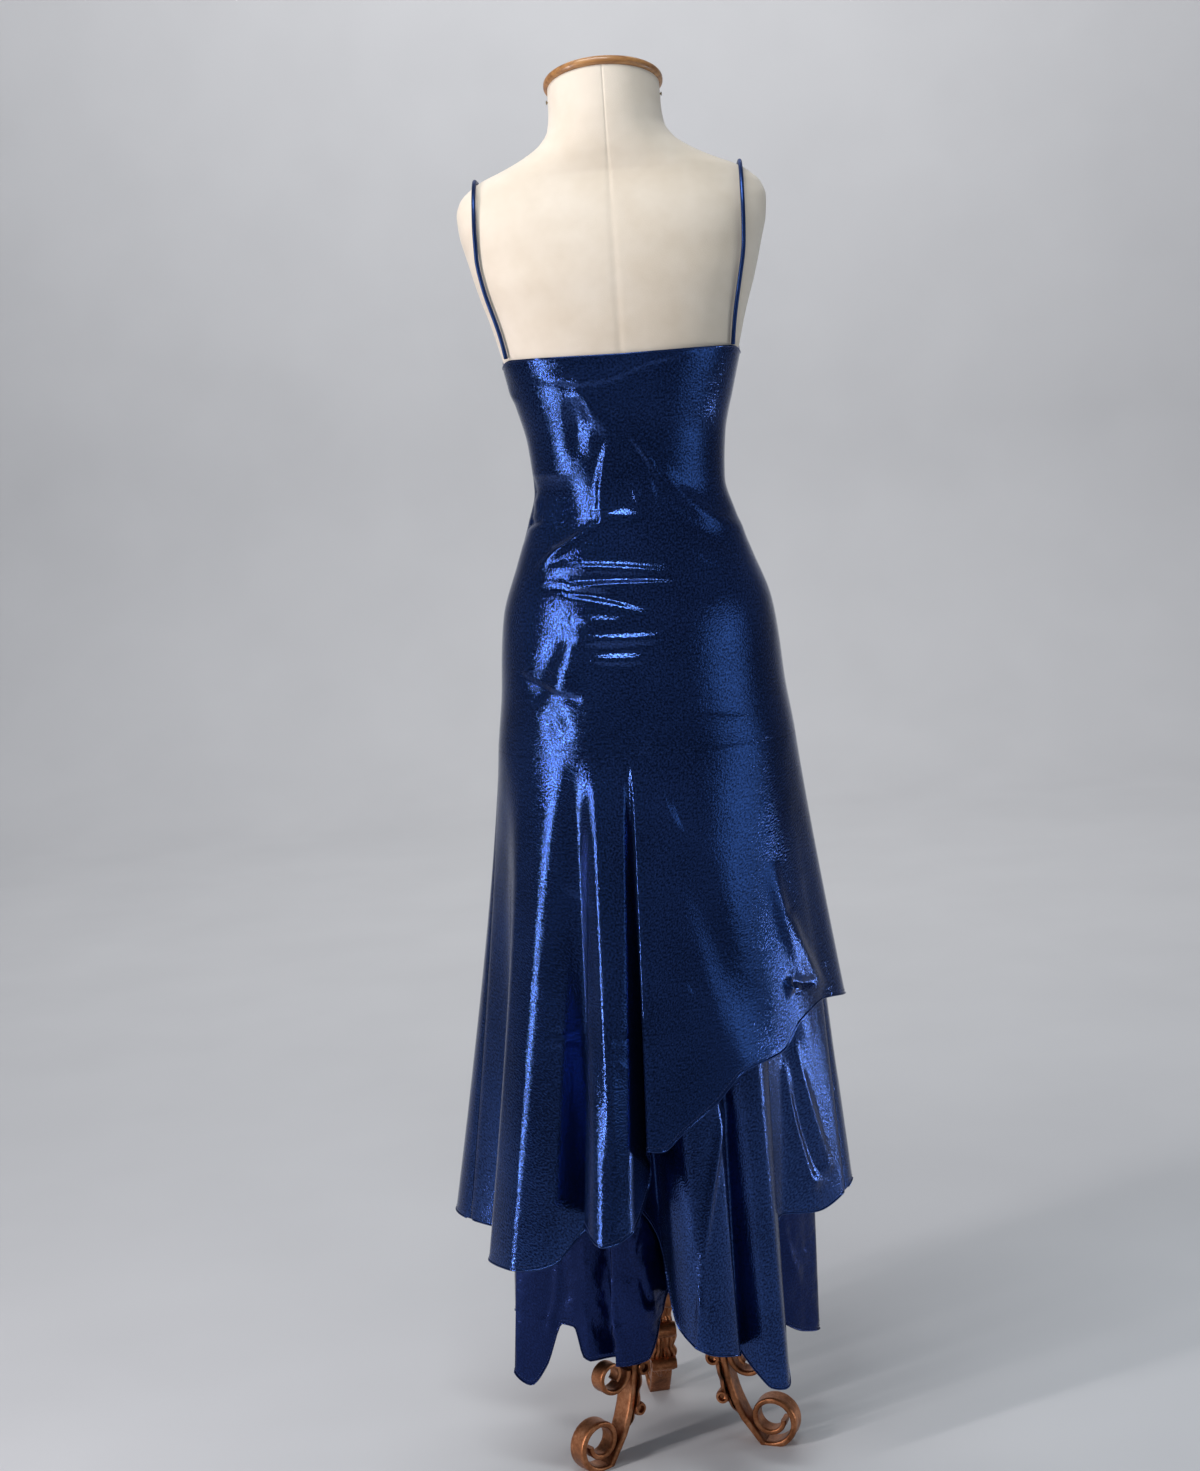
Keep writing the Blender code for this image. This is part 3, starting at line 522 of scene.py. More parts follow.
LOWER_CREASES = (
    Crease(0.030, 0.300, 0.012, 0.225, -0.003, 0.0050, 0.0022),
    Crease(0.020, 0.262, 0.036, 0.250, 0.002, 0.0035, -0.0018),
    Crease(0.064, 0.480, 0.020, 0.270, 0.003, 0.0042, 0.0048),
    Crease(0.020, 0.270, 0.012, 0.196, -0.004, 0.0045, 0.0048),
    Crease(0.160, 0.350, 0.190, 0.336, 0.003, 0.0040, 0.0030),
    Crease(0.172, 0.338, 0.196, 0.352, -0.003, 0.0035, 0.0026),
    Crease(0.142, 0.500, 0.172, 0.330, 0.004, 0.0060, 0.0048),
    Crease(0.158, 0.520, 0.196, 0.350, 0.004, 0.0060, 0.0044),
    Crease(0.150, 0.470, 0.184, 0.340, 0.004, 0.0060, -0.0030),
)
UNDER_CREASES = (
    Crease(-0.048, 0.330, -0.058, 0.292, 0.003, 0.0030, 0.0040),
    Crease(-0.058, 0.292, -0.040, 0.262, -0.003, 0.0030, 0.0044),
    Crease(-0.040, 0.262, -0.034, 0.214, 0.002, 0.0032, 0.0040),
    Crease(-0.052, 0.270, -0.030, 0.215, 0.003, 0.0040, -0.0030),
    Crease(-0.046, 0.250, -0.010, 0.262, 0.003, 0.0035, 0.0030),
    Crease(-0.060, 0.232, -0.020, 0.204, -0.003, 0.0040, 0.0034),
    Crease(-0.022, 0.300, -0.004, 0.226, 0.004, 0.0035, 0.0030),
    Crease(-0.012, 0.226, -0.034, 0.196, 0.002, 0.0032, -0.0026),
    Crease(-0.090, 0.280, -0.078, 0.170, 0.004, 0.0050, 0.0030),
    Crease(-0.120, 0.250, -0.100, 0.180, 0.003, 0.0045, -0.0026),
    Crease(-0.150, 0.290, -0.172, 0.190, -0.004, 0.0050, 0.0034),
    Crease(-0.165, 0.240, -0.150, 0.200, 0.003, 0.0040, -0.0024),
    Crease(0.130, 0.300, 0.150, 0.200, 0.004, 0.0050, 0.0030),
    Crease(-0.100, 0.215, -0.070, 0.190, 0.002, 0.0035, 0.0026),
)


def round_table(rows, column, angles):
    """Read a column of a table that closes on itself round the body."""
    stops = [row.angle for row in rows]
    values = [getattr(row, column) for row in rows]
    turned = (angles - stops[0]) % 360.0 + stops[0]
    stops = [a - 360.0 for a in stops[-2:]] + stops + [a + 360.0 for a in stops[:2]]
    return read_curve(stops, values[-2:] + values + values[:2], turned)


def tier_reach(rows, angles, heights):
    """How far out a layer stands, before it is held inside the layers round it."""
    depth = np.where(np.cos(np.radians(angles)) > 0.0, BODY[0].back, BODY[0].front)
    start = 1.0 / np.hypot(np.sin(np.radians(angles)) / BODY[0].half_width,
                           np.cos(np.radians(angles)) / depth)
    down = (HIP_SEAM - heights) / (HIP_SEAM - round_table(rows, "hem", angles))
    reach = round_table(rows, "reach", angles)
    return start + (reach - start) * np.maximum(down, 0.0) ** FOLD_GROWTH


def tier_grid(tiers, start, rows, columns, creases):
    """Points of a skirt panel from the hip seam down to its hem."""
    angles = np.linspace(start + SIDE_TRIM, start + 180.0 - SIDE_TRIM, int(columns * FINENESS))
    levels = np.linspace(0.0, 1.0, int(rows * FINENESS))[:, None]
    top = HIP_SEAM - SEAM_GAP
    heights = top + (round_table(tiers[-1], "hem", angles)[None, :] - top) * levels
    angles = np.broadcast_to(angles, heights.shape)
    reach = tier_reach(tiers[0], angles, heights)
    for table in tiers[1:]:
        reach = np.minimum(tier_reach(table, angles, heights), reach - LAYER_GAP)
    turn = np.radians(angles)
    points = np.stack((reach * np.sin(turn), -reach * np.cos(turn), heights), -1)
    side = np.minimum(angles - start, start + 180.0 - angles) * math.pi / 180.0 * reach
    ease = np.minimum(1.0, (top - heights) / 0.012) * np.minimum(1.0, side / 0.010)
    lift = relief(points[..., 0], heights, creases) * ease
    lift = lift - SEAM_DIP * np.exp(-(side / SEAM_REACH) ** 2)
    lift = lift - SEAM_DIP * 0.25 * np.exp(-((heights - top) / SEAM_REACH) ** 2)
    return points + outward(points) * lift[..., None] + GOWN_AXIS


underskirt_satin = satin_finish("underskirt_satin", (0.006, 0.013, 0.058), (0.012, 0.027, 0.120),
                                0.20, 0.6, 0.0050)
Layer = namedtuple("Layer", "name tiers creases rows columns cloth width drop back_area front_area")
LAYERS = (
    Layer("upper_flounce", (UPPER_FLOUNCE,), UPPER_CREASES, 130, 320, "satin",
          (1.05, 1.05), (0.64, 0.64), 0.35, 0.32),
    Layer("lower_flounce", (UPPER_FLOUNCE, LOWER_FLOUNCE), LOWER_CREASES, 100, 240, "satin",
          (0.90, 0.90), (0.82, 0.62), 0.39, 0.33),
    Layer("underskirt", (UPPER_FLOUNCE, LOWER_FLOUNCE, UNDERSKIRT), UNDER_CREASES, 90, 220,
          "underskirt_satin", (0.80, 0.80), (0.80, 0.80), 0.41, 0.39),
)
FRONT_SHARE = 0.55       # the front panels need fewer rows, as nothing fine lies on them
HEM_RADIUS = 0.0011
HEM_RISE = 0.0045        # the stitch line is this far above the hem
STITCH_LENGTH = 0.0026
STITCH_STEP = 0.0042
STITCH_RADIUS = 0.00022


def ring_faces(rings, sides):
    """Faces of a closed body through rings of points, with a flat face at each end."""
    faces = []
    for k in range(rings - 1):
        for s in range(sides):
            t = (s + 1) % sides
            faces.append((k * sides + s, k * sides + t, (k + 1) * sides + t, (k + 1) * sides + s))
    faces.append(tuple(range(sides))[::-1])
    faces.append(tuple((rings - 1) * sides + s for s in range(sides)))
    return faces


def tube_along(name, line, radius, sides):
    """A closed round tube along a line of points."""
    line = np.array(line, float)
    ahead = np.gradient(line, axis=0)
    ahead /= np.linalg.norm(ahead, axis=1, keepdims=True)
    side = np.empty_like(line)
    last = np.cross(ahead[0], np.eye(3)[np.argmin(np.abs(ahead[0]))])
    for k, way in enumerate(ahead):
        last = last - way * (last @ way)
        last = last / np.linalg.norm(last)
        side[k] = last
    over = np.cross(side, ahead)
    turns = np.arange(sides) * 2.0 * math.pi / sides
    ring = (side[:, None] * np.cos(turns)[None, :, None] + over[:, None] * np.sin(turns)[None, :, None])
    points = (line[:, None] + ring * radius).reshape(-1, 3)
    mesh = bpy.data.meshes.new(name)
    mesh.from_pydata(points.tolist(), [], ring_faces(len(line), sides))
    mesh.shade_smooth()
    return add_object(name, mesh)


def stitch_tree():
    """Geometry Nodes: short thread lengths laid end to end along a line, a little apart."""
    tree = bpy.data.node_groups.new("stitches", "GeometryNodeTree")
    for socket, way, kind in (
            ("Line", "INPUT", "Geometry"), ("Step", "INPUT", "Float"), ("Length", "INPUT", "Float"),
            ("Thread radius", "INPUT", "Float"), ("Thread", "INPUT", "Material"),
            ("Stitches", "OUTPUT", "Geometry")):
        tree.interface.new_socket(socket, in_out=way, socket_type="NodeSocket" + kind)
    nodes, links = tree.nodes, tree.links
    given = nodes.new("NodeGroupInput")
    curve = nodes.new("GeometryNodeMeshToCurve")
    spaced = nodes.new("GeometryNodeCurveToPoints")
    spaced.mode = "LENGTH"
    stitch = nodes.new("GeometryNodeMeshCylinder")
    stitch.inputs["Vertices"].default_value = 5
    place = nodes.new("GeometryNodeInstanceOnPoints")
    turn = nodes.new("FunctionNodeAlignEulerToVector")
    turn.axis = "Z"
    real = nodes.new("GeometryNodeRealizeInstances")
    paint = nodes.new("GeometryNodeSetMaterial")
    out = nodes.new("NodeGroupOutput")
    links.new(given.outputs["Line"], curve.inputs["Mesh"])
    links.new(curve.outputs["Curve"], spaced.inputs["Curve"])
    links.new(given.outputs["Step"], spaced.inputs["Length"])
    links.new(given.outputs["Length"], stitch.inputs["Depth"])
    links.new(given.outputs["Thread radius"], stitch.inputs["Radius"])
    links.new(spaced.outputs["Points"], place.inputs["Points"])
    links.new(spaced.outputs["Tangent"], turn.inputs["Vector"])
    links.new(stitch.outputs["Mesh"], place.inputs["Instance"])
    links.new(turn.outputs["Rotation"], place.inputs["Rotation"])
    links.new(place.outputs["Instances"], real.inputs["Geometry"])
    links.new(real.outputs["Geometry"], paint.inputs["Geometry"])
    links.new(given.outputs["Thread"], paint.inputs["Material"])
    links.new(paint.outputs["Geometry"], out.inputs["Stitches"])
    return tree


thread = Finish("thread", Metallic=0.1, Roughness=0.6)
twist = thread.noise(thread.place(), 900.0)
thread.feed(Base_Color=thread.ramp(twist, (0.3, (0.010, 0.020, 0.080)), (0.7, (0.030, 0.060, 0.200))))
STITCHES = stitch_tree()


def sew_line(name, line):
    """Stitches along a line of points, as one plain mesh."""
    mesh = bpy.data.meshes.new(name + "_line")
    mesh.from_pydata(np.array(line).tolist(), [(k, k + 1) for k in range(len(line) - 1)], [])
    guide = add_object(name + "_line", mesh)
    sewing = guide.modifiers.new("stitches", "NODES")
    sewing.node_group = STITCHES
    sizes = {"Step": STITCH_STEP, "Length": STITCH_LENGTH, "Thread radius": STITCH_RADIUS,
             "Thread": thread.material}
    for item in STITCHES.interface.items_tree:
        if item.in_out == "INPUT" and item.name in sizes:
            sewing[item.identifier] = sizes[item.name]
    bpy.context.view_layer.update()
    ready = guide.evaluated_get(bpy.context.evaluated_depsgraph_get())
    sewn = bpy.data.meshes.new_from_object(ready)
    bpy.data.objects.remove(guide)
    piece = add_object(name, sewn)
    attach(piece, "root")
    return piece


def hem_and_stitches(name, grid, material):
    """A narrow rolled hem on a panel's lowest edge, and the stitches that hold it."""
    hem = tube_along(name + "_hem", grid[-1, 1:-1] + outward(grid)[-1, 1:-1] * 0.0001, HEM_RADIUS, 6)
    hem.data.materials.append(material)
    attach(hem, "root")
    lift = outward(grid) * (STITCH_RADIUS * 0.6)
    last_step = np.linalg.norm(grid[-1] - grid[-2], axis=1)
    above = -2 - int(np.floor((HEM_RISE / last_step).max()))
    share = HEM_RISE / np.linalg.norm(grid[-1] - grid[above], axis=1, keepdims=True)
    line = (grid[-1] + lift[-1]) * (1.0 - share) + (grid[above] + lift[above]) * share
    return [hem, sew_line(name + "_stitches", line[2:-2])]


for layer in LAYERS:
    for side, start, share, width, drop, area in (
            ("back", -90.0, 1.0, layer.width[0], layer.drop[0], layer.back_area),
            ("front", 90.0, FRONT_SHARE, layer.width[1], layer.drop[1], layer.front_area)):
        creases = layer.creases if side == "back" else ()
        grid = tier_grid(layer.tiers, start, layer.rows * share, layer.columns * share, creases)
        piece = lay_cloth("%s_%s_cloth" % (layer.name, side), grid, WALL)
        material = satin if layer.cloth == "satin" else underskirt_satin
        piece.data.materials.append(material)
        trim = hem_and_stitches("%s_%s" % (layer.name, side), grid, material)
        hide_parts("%s_%s" % (layer.name, side))
        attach(piece, "root")
        "%s_bodice_cloth" % side

# ---------------------------------------------------------------- rolled top edge and straps
# The bodice's top edge is turned over into a fine roll.  Two straps are rouleaux: bias strips of
# the same satin turned inside out into soft cords, sewn into the edge at the back and the front.
EDGE_RADIUS = 0.0013
STRAP_RADIUS = 0.0025
STRAP_POINTS = 150
PIVOT_HEIGHT = 1.450

for side, start in (("back", -90.0), ("front", 90.0)):
    angles = np.linspace(start + 2.0 * SIDE_TRIM, start + 180.0 - 2.0 * SIDE_TRIM, 140)
    edge = body_points(angles, neckline(angles) - EDGE_RADIUS * 0.6, 0.0004) + GOWN_AXIS
    roll = tube_along("%s_top_edge" % side, edge, EDGE_RADIUS, 8)
    roll.data.materials.append(satin)
    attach(roll, "root")

strap_satin = satin_finish("strap_satin", SATIN_DEEP, SATIN_BRIGHT, 0.34, 1.0, 0.0006)


def strap_middle(node):
    """The middle line of a strap, read from its rings in the frame."""
    corners = np.array(sorted({tuple(np.round(v.co, 6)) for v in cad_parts[node].data.vertices}))
    middles = []
    while len(corners):
        near = np.linalg.norm(corners - corners[0], axis=1) < 2.5 * STRAP_RADIUS
        middles.append(corners[near].mean(axis=0))
        corners = corners[~near]
    middles = np.array(sorted(middles, key=lambda p: math.atan2(p[1] - GOWN_Y, p[2] - PIVOT_HEIGHT)))
    stops = np.arange(len(middles), dtype=float)
    at = np.linspace(0.0, stops[-1], STRAP_POINTS)
    return np.stack([read_curve(stops, middles[:, k], at) for k in range(3)], -1)


for node in ("strap_right", "strap_left"):
    line = strap_middle(node)
    strap = tube_along(node + "_rouleau", line, STRAP_RADIUS, 12)
    strap.data.materials.append(strap_satin)
    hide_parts(node)
    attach(strap, "root")

# ---------------------------------------------------------------- padded torso
# The form is a moulded torso, padded and covered in a cream knitted jersey.  The cover is sewn
# down the middle of the back and the front and pulled tight, so only a fine seam line shows.
FORM_INSET = 0.0032
FORM_TUCK = 0.0100       # the cover lies this much deeper where the gown hides it
FORM_SEAM = 0.0006
FORM_SEAM_REACH = 0.0016

form_low, form_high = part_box("torso_form")
# columns of points lie closer together beside the seam
angles = np.sort(np.concatenate([np.linspace(-180.0, 180.0, 181)[:-1],
                                 [-1.5, -1.0, -0.6, -0.3, 0.3, 0.6, 1.0, 1.5, 178.6, 179.0, 179.4, 179.7,
                                  -179.7, -179.4, -179.0, -178.6]]))
heights = np.concatenate((np.linspace(form_low[2], 1.34, 40), np.linspace(1.345, BODY[-1].height, 130)))
ring_angles, ring_heights = np.meshgrid(angles, heights)
hidden = np.clip((neckline(ring_angles) - 0.004 - ring_heights) / 0.012, 0.0, 1.0)
middle = np.abs(np.sin(np.radians(ring_angles))) * 0.10
cover = body_points(ring_angles, ring_heights, FORM_INSET)
outwards = cover * (1.0, 1.0, 0.0)
cover -= FORM_TUCK * hidden[..., None] * outwards / np.linalg.norm(outwards, axis=-1, keepdims=True)
groove = FORM_SEAM * np.exp(-(middle / FORM_SEAM_REACH) ** 2)
cover[..., 1] += np.where(cover[..., 1] < 0.0, groove, -groove)
cover += GOWN_AXIS
mesh = bpy.data.meshes.new("torso_cover")
mesh.from_pydata(cover.reshape(-1, 3).tolist(), [], ring_faces(len(heights), len(angles)))
mesh.shade_smooth()
mesh.set_sharp_from_angle(angle=math.radians(SHARP_ANGLE))
torso = add_object("torso_cover", mesh)

jersey = Finish("jersey", Roughness=0.92, Specular_IOR_Level=0.25, Sheen_Weight=0.35,
                Sheen_Roughness=0.5)
place = jersey.place()
ribs = jersey.node("ShaderNodeTexWave", {"wave_type": "BANDS", "bands_direction": "X"},
                   {"Vector": place, "Scale": 260.0, "Distortion": 1.5, "Detail": 1.0})
courses = jersey.noise(jersey.stretched(place, (500.0, 500.0, 1100.0)), 1.0, 2.0)
fuzz = jersey.noise(place, 1400.0, 2.0)
soiling = jersey.noise(place, 7.0, 4.0, 0.6)
tone = jersey.ramp(soiling, (0.30, (0.760, 0.640, 0.500)), (0.55, (0.860, 0.750, 0.620)),
                   (0.80, (0.890, 0.795, 0.680)))
jersey.feed(Base_Color=tone, Normal=jersey.bump(ribs * 0.25 + courses * 0.5 + fuzz * 0.35, 0.0004, 0.7))
torso.data.materials.append(jersey.material)
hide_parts("torso_form")
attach(torso, "root")

# ---------------------------------------------------------------- neck cap
# A turned disc of light wood closes the neck.  Its rim is rounded over and varnished, and two
# small brass pins at the sides of the neck hold the jersey under it.
CAP_THICK = 0.010
CAP_EDGE = 0.0042
CAP_PROUD = 0.0012
CAP_SIDES = 120
HARD_ANGLE = 50.0        # the same limit for wood and metal

lean = math.radians(BODY[-1].tilt)
cap_axis = np.array((0.0, math.sin(lean), math.cos(lean)))
turns = np.linspace(0.0, 360.0, CAP_SIDES, endpoint=False)
profile = [(CAP_EDGE * (1.0 - math.sin(a)), CAP_EDGE * (1.0 - math.cos(a)))
           for a in np.linspace(0.0, math.pi / 2.0, 7)]
profile += [(inset, CAP_THICK - rise) for inset, rise in reversed(profile)]
profile += [(0.020, CAP_THICK + 0.0004), (0.045, CAP_THICK + 0.0006)]
rings = []
for inset, rise in profile:
    foot = body_points(turns, np.full(CAP_SIDES, BODY[-1].height), inset - CAP_PROUD)
    rings.append(foot + cap_axis * (rise + SEAM_GAP) + GOWN_AXIS)


def ringed(name, rings):
    """A closed solid through rings of points with a flat face at each end."""
    mesh = bpy.data.meshes.new(name)
    mesh.from_pydata(np.concatenate(rings).tolist(), [], ring_faces(len(rings), len(rings[0])))
    builder = bmesh.new()
    builder.from_mesh(mesh)
    bmesh.ops.recalc_face_normals(builder, faces=builder.faces)
    builder.to_mesh(mesh)
    builder.free()
    mesh.shade_smooth()
    mesh.set_sharp_from_angle(angle=math.radians(HARD_ANGLE))
    return add_object(name, mesh)


cap = ringed("neck_cap_disc", rings)
wood = Finish("cap_wood", Roughness=0.35, Coat_Weight=0.35, Coat_Roughness=0.2)
grain = wood.noise(wood.stretched(wood.place(), (14.0, 160.0, 160.0)), 1.0, 4.0, 0.6)
wood_tone = wood.ramp(grain, (0.25, (0.190, 0.075, 0.022)), (0.50, (0.420, 0.190, 0.060)),
                      (0.75, (0.560, 0.290, 0.100)))
wood.feed(Base_Color=wood_tone, Normal=wood.bump(grain, 0.0002, 0.5))
cap.data.materials.append(wood.material)
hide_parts("neck_cap")
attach(cap, "root")

brass = Finish("pin_brass", Metallic=1.0, Roughness=0.3)
brass_tone = brass.noise(brass.place(), 400.0)
brass.feed(Base_Color=brass.ramp(brass_tone, (0.3, (0.25, 0.19, 0.10)), (0.7, (0.55, 0.45, 0.28))))
UP = np.array((0.0, 0.0, 1.0))
PIN_HEIGHT = 1.674
Turned = namedtuple("Turned", "radius height")
PIN = (
    Turned(0.0010, -0.0010),
    Turned(0.0010, 0.0008),
    Turned(0.0022, 0.0010),
    Turned(0.0026, 0.0016),
    Turned(0.0018, 0.0022),
)


def circle(sides, first, second):
    """Points of a unit circle that runs from one direction towards the other."""
    turns = np.linspace(0.0, 2.0 * math.pi, sides, endpoint=False)[:, None]
    return np.cos(turns) * first + np.sin(turns) * second


for side, turn in (("right", 84.0), ("left", -86.0)):
    pin_foot = body_points(np.array([turn]), np.array([PIN_HEIGHT]), FORM_INSET)[0] + GOWN_AXIS
    out = np.array((math.sin(math.radians(turn)), -math.cos(math.radians(turn)), 0.0))
    rim = circle(16, np.array((out[1], -out[0], 0.0)), UP)
    pin = ringed("neck_pin_%s" % side, [pin_foot + out * row.height + rim * row.radius for row in PIN])
    pin.data.materials.append(brass.material)
    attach(pin, "root")

# ---------------------------------------------------------------- stand
# The stand is cast in bronze and browned: a flange under the torso, a plain pole, a turned hub and
# three scroll legs of flat bar, each with a leaf laid along its outer face.
pole_low, pole_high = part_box("pole")
STAND = np.array((0.5 * (pole_low[0] + pole_high[0]), 0.5 * (pole_low[1] + pole_high[1]), 0.0))
POLE_RADIUS = 0.0125
FLANGE_RADIUS = 0.055
FLANGE_THICK = 0.008
FLANGE_EDGE = 0.001      # chamfer of the flange's rim
FLARE_HEIGHT = 0.020     # the pole spreads over this height into the flange
LEG_AZIMUTHS = (-20.0, 100.0, 220.0)
LEG_WIDTH = 0.032
LEG_TAPER = 0.35         # share of its width that a bar loses by its end
LEG_THICK = 0.0105
FOOT_CENTRE = (0.132, 0.0345)
FOOT_RADIUS = 0.0360
FOOT_START = 250.0
FOOT_TURNS = 1.30
FOOT_SHRINK = 0.52       # of its radius, each turn
FOOT_TIP = 0.65          # the foot's end, as a share of the leg's thickness
SCROLL_CENTRE = (0.1060, 0.1135)
SCROLL_RADIUS = 0.0245
SCROLL_START = 178.0
SCROLL_TURNS = 1.15
SCROLL_SHRINK = 0.50
SCROLL_THICK = 0.7       # the second scroll's start and end, as shares of the leg's thickness
SCROLL_TIP = 0.5
SCROLL_WIDTH = 0.8       # and its width, of the leg's
BOSS_WIDTH = 1.05

LegRow = namedtuple("LegRow", "out up")
LEG_LINE = (
    LegRow(0.0262, 0.2552),
    LegRow(0.0480, 0.2600),
    LegRow(0.0640, 0.2440),
    LegRow(0.0690, 0.2100),
    LegRow(0.0680, 0.1700),
    LegRow(0.0720, 0.1200),
    LegRow(0.0820, 0.0680),
    LegRow(0.1000, 0.0240),
)
HUB = (
    Turned(0.0060, 0.1700),
    Turned(0.0120, 0.1760),
    Turned(0.0150, 0.1900),
    Turned(0.0090, 0.2040),
    Turned(0.0170, 0.2160),
    Turned(0.0245, 0.2300),
    Turned(0.0245, 0.2780),
    Turned(0.0170, 0.2920),
    Turned(0.0210, 0.3050),
    Turned(0.0190, 0.3200),
    Turned(0.0150, 0.3297),
)

bronze = Finish("cast_bronze", Metallic=0.92)
place = bronze.place()
pits = bronze.noise(place, 260.0, 3.0, 0.6)
stain = bronze.noise(place, 28.0, 4.0, 0.6)
bronze_tone = bronze.ramp(stain * 0.7 + pits * 0.3, (0.30, (0.080, 0.030, 0.012)),
                          (0.52, (0.360, 0.140, 0.060)), (0.75, (0.680, 0.340, 0.180)))
bronze.feed(Base_Color=bronze_tone, Roughness=0.26 + stain * 0.30,
            Normal=bronze.bump(pits * 0.5 + stain * 0.5, 0.0006, 0.6))


def cast(piece, node=None):
    """Give a piece of the stand its finish and its place in the frame."""
    piece.data.materials.append(bronze.material)
    if node:
        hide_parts(node)
    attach(piece, "root")


def turned_piece(name, rows, sides=64):
    """A turned piece through rows of radius and height."""
    rim = circle(sides, np.array((1.0, 0.0, 0.0)), np.array((0.0, 1.0, 0.0)))
    return ringed(name, [STAND + rim * radius + UP * height for radius, height in rows])


flange_top, flange_low = pole_high[2], pole_high[2] - FLANGE_THICK
cast(turned_piece("pole_and_flange", (
    Turned(POLE_RADIUS, pole_low[2]),
    Turned(POLE_RADIUS, flange_low - FLARE_HEIGHT),
    Turned(POLE_RADIUS * 1.16, flange_low - FLARE_HEIGHT * 0.45),
    Turned(POLE_RADIUS * 1.5, flange_low),
    Turned(FLANGE_RADIUS - FLANGE_EDGE, flange_low),
    Turned(FLANGE_RADIUS, flange_low + FLANGE_EDGE),
    Turned(FLANGE_RADIUS, flange_top - FLANGE_EDGE),
    Turned(FLANGE_RADIUS - FLANGE_EDGE, flange_top),
)), "pole")
hub_heights = np.linspace(HUB[0].height, HUB[-1].height, 90)
hub_radii = read_curve([row.height for row in HUB], [row.radius for row in HUB], hub_heights)
cast(turned_piece("hub_turning", list(zip(hub_radii, hub_heights))), "hub")


def scroll_line(centre, radius, start, turns, shrink, steps):
    """A spiral that winds inwards, as (out, up) rows."""
    wound = np.linspace(0.0, turns, steps + 1)
    reach, angle = radius * shrink ** wound, np.radians(start + 360.0 * wound)
    return np.stack((centre[0] + reach * np.cos(angle), centre[1] + reach * np.sin(angle)), -1)


def leg_directions(azimuth):
    """The directions out from the stand and square to that, for a leg."""
    turn = math.radians(azimuth)
    return (np.array((math.cos(turn), math.sin(turn), 0.0)),
            np.array((-math.sin(turn), math.cos(turn), 0.0)))


def leg_frame(line, azimuth):
    """Places along a line in an upright plane of the stand, with its own directions."""
    outwards, sideways = leg_directions(azimuth)
    places = STAND + line[:, :1] * outwards + line[:, 1:] * UP
    along = np.gradient(places, axis=0)
    along /= np.linalg.norm(along, axis=1, keepdims=True)
    return places, sideways, np.cross(along, sideways)


def bar(name, line, azimuth, thick_start, thick_end, width):
    """A flat cast bar with rounded corners and a shallow hollow down each broad face."""
    places, sideways, across = leg_frame(line, azimuth)
    share = np.linspace(0.0, 1.0, len(line))
    half_thick = 0.5 * (thick_start + (thick_end - thick_start) * share)
    half_width = 0.5 * width * (1.0 - LEG_TAPER * share)
    turns = np.linspace(0.0, 2.0 * math.pi, 28, endpoint=False)
    u = np.sign(np.cos(turns)) * np.abs(np.cos(turns)) ** 0.42
    v = np.sign(np.sin(turns)) * np.abs(np.sin(turns)) ** 0.42
    v = v * (1.0 - 0.16 * np.exp(-(u / 0.45) ** 2))
    rings = []
    for k in range(len(line)):
        ring = (places[k] + sideways * (u * half_width[k])[:, None]
                + across[k] * (v * half_thick[k])[:, None])
        ring[:, 2] = np.maximum(ring[:, 2], 0.0)
        rings.append(ring)
    return ringed(name, rings)


def leaf(name, line, azimuth, width, lift, thick):
    """A cast leaf along the outer face of a leg, lobed at its sides and veined down its middle."""
    places, sideways, across = leg_frame(line, azimuth)
    count = len(line)
    s = np.linspace(0.0, 1.0, count)
    envelope = np.clip(np.sin(np.pi * (0.06 + 0.88 * s)), 0.0, 1.0) ** 0.6
    lobes = 0.86 + 0.30 * np.abs(np.sin(4.0 * np.pi * s))
    u = np.linspace(-1.0, 1.0, 25)
    rings = []
    for k in range(count):
        half = 0.5 * width * envelope[k] * lobes[k]
        crown = (1.0 - u ** 2) ** 0.5 * (1.0 - 0.45 * np.exp(-(u / 0.14) ** 2))
        crown = crown * (1.0 + 0.18 * np.cos(7.0 * np.pi * np.abs(u) - 14.0 * s[k]))
        rise = lift + thick * envelope[k] * crown
        top = places[k] + sideways * (u * half)[:, None] + across[k] * rise[:, None]
        low = places[k] + sideways * (u[::-1] * half * 0.9)[:, None] + across[k] * (lift - LEAF_FOOT)
        ring = np.concatenate((top, low))
        ring[:, 2] = np.maximum(ring[:, 2], 0.0)
        rings.append(ring)
    return ringed(name, rings)


def boss(name, place, azimuth, width):
    """A small boss like a rolled leaf end, with a hollow eye on each side."""
    outwards, sideways = leg_directions(azimuth)
    middle = STAND + outwards * place.out + UP * place.up
    rim = circle(32, outwards, UP) * place.radius
    return ringed(name, [middle + sideways * (w * width) + rim * r for r, w in BOSS_PROFILE])


def leg_stretch(first, last, count):
    """Points of the leg's line between two of its rows."""
    stops, at = np.arange(len(LEG_LINE)), np.linspace(first, last, count)
    return np.stack((read_curve(stops, [row.out for row in LEG_LINE], at),
                     read_curve(stops, [row.up for row in LEG_LINE], at)), -1)


# each leaf starts and ends at a row of the leg's line, and stands in or out from its middle
LEAF_FOOT = 0.0015       # the underside of a leaf lies this much deeper than its rim
Leaf = namedtuple("Leaf", "first last width lift thick")
LEAVES = (
    Leaf(2.4, 5.0, 0.040, -0.0048, -0.0090),
    Leaf(4.6, 6.7, 0.036, -0.0046, -0.0085),
)
Boss = namedtuple("Boss", "out up radius")
BOSSES = (
    Boss(0.0600, 0.1120, 0.0105),
    Boss(0.0700, 0.0600, 0.0090),
)
